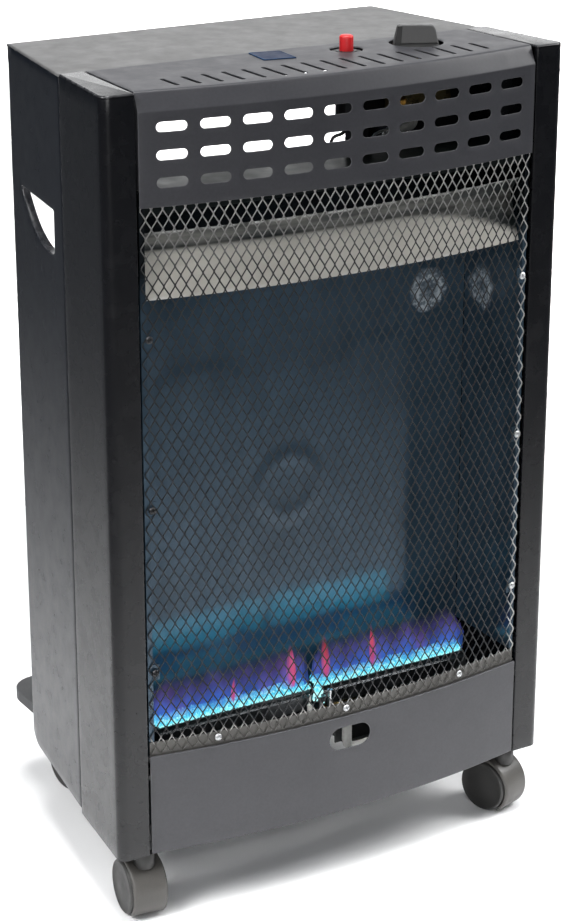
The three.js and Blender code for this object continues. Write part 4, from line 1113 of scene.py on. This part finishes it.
a = Acc()
for x, h, r, ln in ((-22.5, 45, 4.6, -2), (12.5, 50, 4.2, -4), (62.5, 46, 3.2, -3), (-84, 24, 2.6, 1)):
    for k in range(5):
        q = 1 - 0.19 * k
        tongue(a, x + rng.uniform(-0.8, 0.8), BAND - 3 + rng.uniform(-0.6, 0.6), 99, h * (0.75 + 0.25 * q) * rng.uniform(0.92, 1.04), r * q, ln * q)
make("flame_streaks", a.v, a.f, "streak", weld=0, sharp=180)
a = Acc()
rng = random.Random(5)
for k in range(26):
    tongue(a, -2.5 + rng.uniform(-4.0, 3.2), 30.5 + rng.uniform(-2.5, 4.0), rng.uniform(86, 101), rng.uniform(5, 9), rng.uniform(0.9, 1.5), rng.uniform(-1, 1))
for k in range(7):
    tongue(a, 0.8 + rng.uniform(-1.5, 2.4), 29.5 + rng.uniform(-1, 1), rng.uniform(82, 88), rng.uniform(4, 6), rng.uniform(0.7, 1.1))
make("flame_pilot", a.v, a.f, "jets", weld=0, sharp=180)

# -------------------------------------------------------------------- base
finish_cad(["base_tray"], "tray", 0.4)

# ------------------------------------------------------------ top controls
KX, KY = 112.7, 66.6
kn = Matrix.Translation((KX, KY, 0)) @ Matrix.Rotation(math.radians(-24.6), 4, "Z")
a = Acc()
lathe(a, [(4.6, 652.2), (20.4, 652.0), (21.0, 652.6), (21.0, 656.2), (20.7, 657.0), (19.4, 660.2), (18.6, 660.7), (0.02, 660.9)], 72, lambda p: p, [0, 1, 1, 0, 1, 1, 0, 0], mi=1)
lathe(a, [(4.6, 652.2), (4.6, 660.0), (0.02, 660.0)], 40, lambda p: p, mi=1)
# grip bar: an outline along the bar, its sides leaning in, every edge rounded
side_ = refine(ccw([(-19.4, 660.2), (19.0, 660.2), (18.0, 665.5), (16.6, 671.5), (15.6, 674.4), (14.2, 676.2), (12.0, 676.9), (0, 677.3), (-12.6, 677.5), (-14.8, 677.1), (-16.2, 675.8), (-17.0, 673.0), (-18.6, 666.0)]), 1.6)


def half_w(z):
    return 5.6 - 2.0 * (z - 659) / 20


rings = []
for o, w in ((1.7, 1.0), (0.8, 0.94), (0.25, 0.80), (0.0, 0.55), (0.0, -0.55), (0.25, -0.80), (0.8, -0.94), (1.7, -1.0)):
    rings.append([(p[0], half_w(p[1]) * w, p[1]) for p in offset(side_, -o)])
a.loops(rings, [0, 0.7, 1, 0.4, 0.4, 1, 0.7, 0])
for rg, fl in ((rings[0], False), (rings[-1], True)):
    v, f = fill(np.array([(p[0], p[2]) for p in rg]), [], steps(-18, 18, 3), steps(662, 676, 3), near=0.6)
    s_ = -1 if fl else 1
    a.add([(p[0], s_ * half_w(p[1]), p[1]) for p in v], f)
# a dark inlay let into the left end
front = [(-19.2, 661.0), (-13.6, 661.0), (-12.4, 675.6), (-16.6, 675.6)]
outer = [(x, -(half_w(z) + 0.14), z) for x, z in front]
inner_ = [(x, -(half_w(z) - 0.9), z) for x, z in front]
a.loops([outer, inner_], mi=1)
a.cap(outer[::-1], 1)
a.cap(inner_, 1)
make("knob_grip", a.v, a.f, None, body="knob", rep=["control_knob"], edge=a.e, weld=0, mats=["knob", "skirt"], index=a.mi, local=kn, sharp=50)

a = Acc()
lathe(a, [(0.02, 648.0), (5.6, 648.0), (5.9, 648.4), (5.9, 671.4), (5.65, 672.5), (5.0, 673.2), (4.0, 673.6), (0.02, 673.8)], 56, lambda p: (p[0] + 44.8, p[1] + 70, p[2]), [0, 0, 0, 0, 0.6, 1, 0.5, 0])
make("button_cap", a.v, a.f, "red", body="button", rep=["igniter_button"], edge=a.e, sharp=60)

# plain raised plate on the hood top, its rim rounded
a = Acc()
pl = ccw([(-35.6, 95.3), (-39.6, 62.5), (-11.1, 57.4), (-8.3, 89.3)])
pl = np.array(pl)
cen = pl.mean(0)


def rounded(poly, r, k=4):
    out_ = []
    m = len(poly)
    for i in range(m):
        A, B, C = np.array(poly[i - 1], float), np.array(poly[i], float), np.array(poly[(i + 1) % m], float)
        p, q = B + (A - B) / np.linalg.norm(A - B) * r, B + (C - B) / np.linalg.norm(C - B) * r
        out_ += [((1 - t) ** 2 * p + 2 * t * (1 - t) * B + t * t * q) for t in np.linspace(0, 1, k + 1)]
    return np.array(out_)


plr = rounded(pl, 1.6)
T0 = BODY_H + 0.02
rings = [[(p[0], p[1], T0 + d) for p in offset(plr, -o)] for o, d in ((0, 0), (0, 0.55), (0.15, 0.72), (0.45, 0.8), (0.9, 0.8), (1.1, 0.62))]
a.loops(rings, [1, 1, 1, 1, 1, 0])
a.cap(rings[0][::-1])
a.cap(rings[-1])
make("top_plate", a.v, a.f, "badge", edge=a.e, sharp=40)

# ------------------------------------------------------------------ castors
TRAIL, WR, HR = 12.0, 24.5, 28.0
ZC = WR - LIFT
for name, cx, cy, yaw in (("front_left", -191, 13, -7), ("front_right", 191, 13, 18), ("rear_left", -128, 250, 12), ("rear_right", 128, 250, -20)):
    loc = Matrix.Translation((cx, cy, 0)) @ Matrix.Rotation(math.radians(yaw), 4, "Z")
    a = Acc()
    A0, A1, N = 64, 232, 40

    def at(r, ang, x):
        t = math.radians(ang)
        return (x, TRAIL + r * math.cos(t), ZC + r * math.sin(t))
    # hood shell: section across x swept round the wheels, crowned at its edges
    sec = [(-15.4, WR + 0.9), (-15.6, HR - 1.6), (-15.2, HR - 0.7), (-14.2, HR - 0.15), (-12.0, HR), (12.0, HR), (14.2, HR - 0.15), (15.2, HR - 0.7), (15.6, HR - 1.6), (15.4, WR + 0.9)]
    rings = []
    for ang in steps(A0, A1, (A1 - A0) / N):
        e = min(1.0, (ang - A0) / 5, (A1 - ang) / 5)
        rings.append([at(r - (1 - e) * 0.5 * (r > WR + 1.5), ang, x) for x, r in sec])
    a.loops(rings, None)
    a.cap(rings[0][::-1])
    a.cap(rings[-1])
    # web between the wheels
    web = [at(HR - 0.5, t, 0)[1:] for t in steps(A0, A1, 8)] + [(TRAIL - 6, ZC - 9), (TRAIL + 6, ZC - 9), (TRAIL + 9, ZC)]
    web = ccw(web)
    rings = [[(w, p[0], p[1]) for p in offset(web, -o)] for o, w in ((0.5, -3.3), (0, -2.8), (0, 2.8), (0.5, 3.3))]
    a.loops(rings)
    a.cap(rings[0])
    a.cap(rings[-1][::-1])
    # swivel boss with its plain washer and the stem
    lathe(a, [(0.02, ZC + 23), (8.2, ZC + 23.0), (9.0, ZC + 24.2), (9.0, -3.0), (8.4, -1.9), (6.4, -1.5), (6.4, -1.4), (3.9, -1.4), (3.9, 20.2), (3.3, 21.0), (0.02, 21.0)], 36, lambda p: p, mi=1)
    make(f"castor_{name}_shell", a.v, a.f, None, body=f"castor_{name}", rep=[f"castor_{name}_hood"], weld=0, local=loc, sharp=40, mats=["castor", "wheel"], index=a.mi)
    finish_cad([f"castor_{name}_axle"], "zinc", 0)
    for wside, s in (("left", -1), ("right", 1)):
        a = Acc()
        pr = [(3.35, 4.4), (4.6, 4.25), (22.6, 4.25), (23.8, 4.6), (24.4, 5.6), (24.5, 6.8), (24.5, 14.8), (24.3, 16.0), (23.7, 16.9), (22.9, 17.35), (22.0, 17.45), (21.2, 17.2), (20.4, 16.75), (12.0, 17.05), (6.0, 17.2), (5.4, 17.28), (0.02, 17.3)]
        lathe(a, pr, 72, lambda p, s=s: (s * p[2], TRAIL + p[0], ZC + p[1]), [0, 0, 0, 0.5, 0.5, 0, 0, 0.6, 1, 1, 0.8, 0.3, 0, 0, 0, 0, 0])
        lathe(a, [(3.35, 4.4), (3.35, 16.6), (0.02, 16.6)], 40, lambda p, s=s: (s * p[2], TRAIL + p[0], ZC + p[1]))
        make(f"castor_{name}_disc_{wside}", a.v, a.f, "wheel", body=f"castor_{name}_wheel_{wside}", rep=[f"castor_{name}_wheel_{wside}"], edge=a.e, weld=0, local=loc, sharp=45)

# ---------------------------------------------------------- floor and light
me = bpy.data.meshes.new("floor")
S_ = 16.0
me.from_pydata([(-S_, -S_, 0), (S_, -S_, 0), (S_, S_, 0), (-S_, S_, 0)], [], [(0, 1, 2, 3)])
floor = bpy.data.objects.new("floor", me)
scene.collection.objects.link(floor)
fm = Mat("floor_pale", (0.86, 0.86, 0.865), 0.75, 0.0, Specular_IOR_Level=0.2)
fm.vary(0.8, 0.985, 1.015)
fm.done()
me.materials.append(fm.m)

world = bpy.data.worlds.new("World")
scene.world = world
world.use_nodes = True
bg = world.node_tree.nodes["Background"]
bg.inputs[0].default_value = (0.55, 0.75, 1.0, 1)
bg.inputs[1].default_value = 0.045


def area(name, loc, to, size, power, color=(1, 1, 1), size_y=None, spread=180):
    d = bpy.data.lights.new(name, "AREA")
    d.energy, d.color = power, color
    d.shape = "RECTANGLE"
    d.size, d.size_y = size, size_y or size
    d.spread = math.radians(spread)
    o = bpy.data.objects.new(name, d)
    o.location = loc
    o.rotation_euler = (Vector(to) - Vector(loc)).to_track_quat("-Z", "Y").to_euler()
    o.visible_camera = False
    scene.collection.objects.link(o)
    return o


area("overhead", (0.10, -0.20, 2.4), (0.10, -0.1999, 0.0), 1.3, 7.0, spread=44)
area("floor_left", (-1.25, -0.35, 1.3), (-0.05, -0.15, 0.0), 0.8, 4.6, spread=62)
area("floor_right", (1.35, -0.55, 1.3), (0.10, -0.10, 0.0), 0.8, 4.6, spread=62)
area("rear_floor", (1.55, 2.25, 3.0), (1.55 + 0.000515, 2.25 + 0.000857, 0.0), 1.0, 50, size_y=3.8, spread=38)
area("far_floor", (2.35, 4.4, 3.2), (2.35 + 0.000515, 4.4 + 0.000857, 0.0), 2.2, 60, size_y=1.6, spread=50)
area("rear_sweep", (2.3, 3.6, 1.7), (0.0, 0.0, 0.6), 3.0, 31, size_y=1.8)
area("front_fill", (-1.0, -2.9, 1.55), (0.0, 0.0, 0.42), 1.2, 9.5)
area("front_wash", (-0.7, -1.4, 0.85), (0.05, 0.05, 0.03), 0.8, 1.2, spread=80)
for nm, xa, xb in (("fire_left", -162, -6), ("fire_right", 1, 128)):
    p0 = Vector(W(((xa + xb) / 2, 53, 140)))
    area(nm, p0, p0 + Vector((0, 1, 0.0)), (xb - xa) / 1000, 0.030, (0.05, 0.66, 0.86), 0.030)

scene.view_settings.view_transform = "Standard"
scene.view_settings.look = "None"
scene.view_settings.exposure = 0.0
scene.view_settings.gamma = 1.0
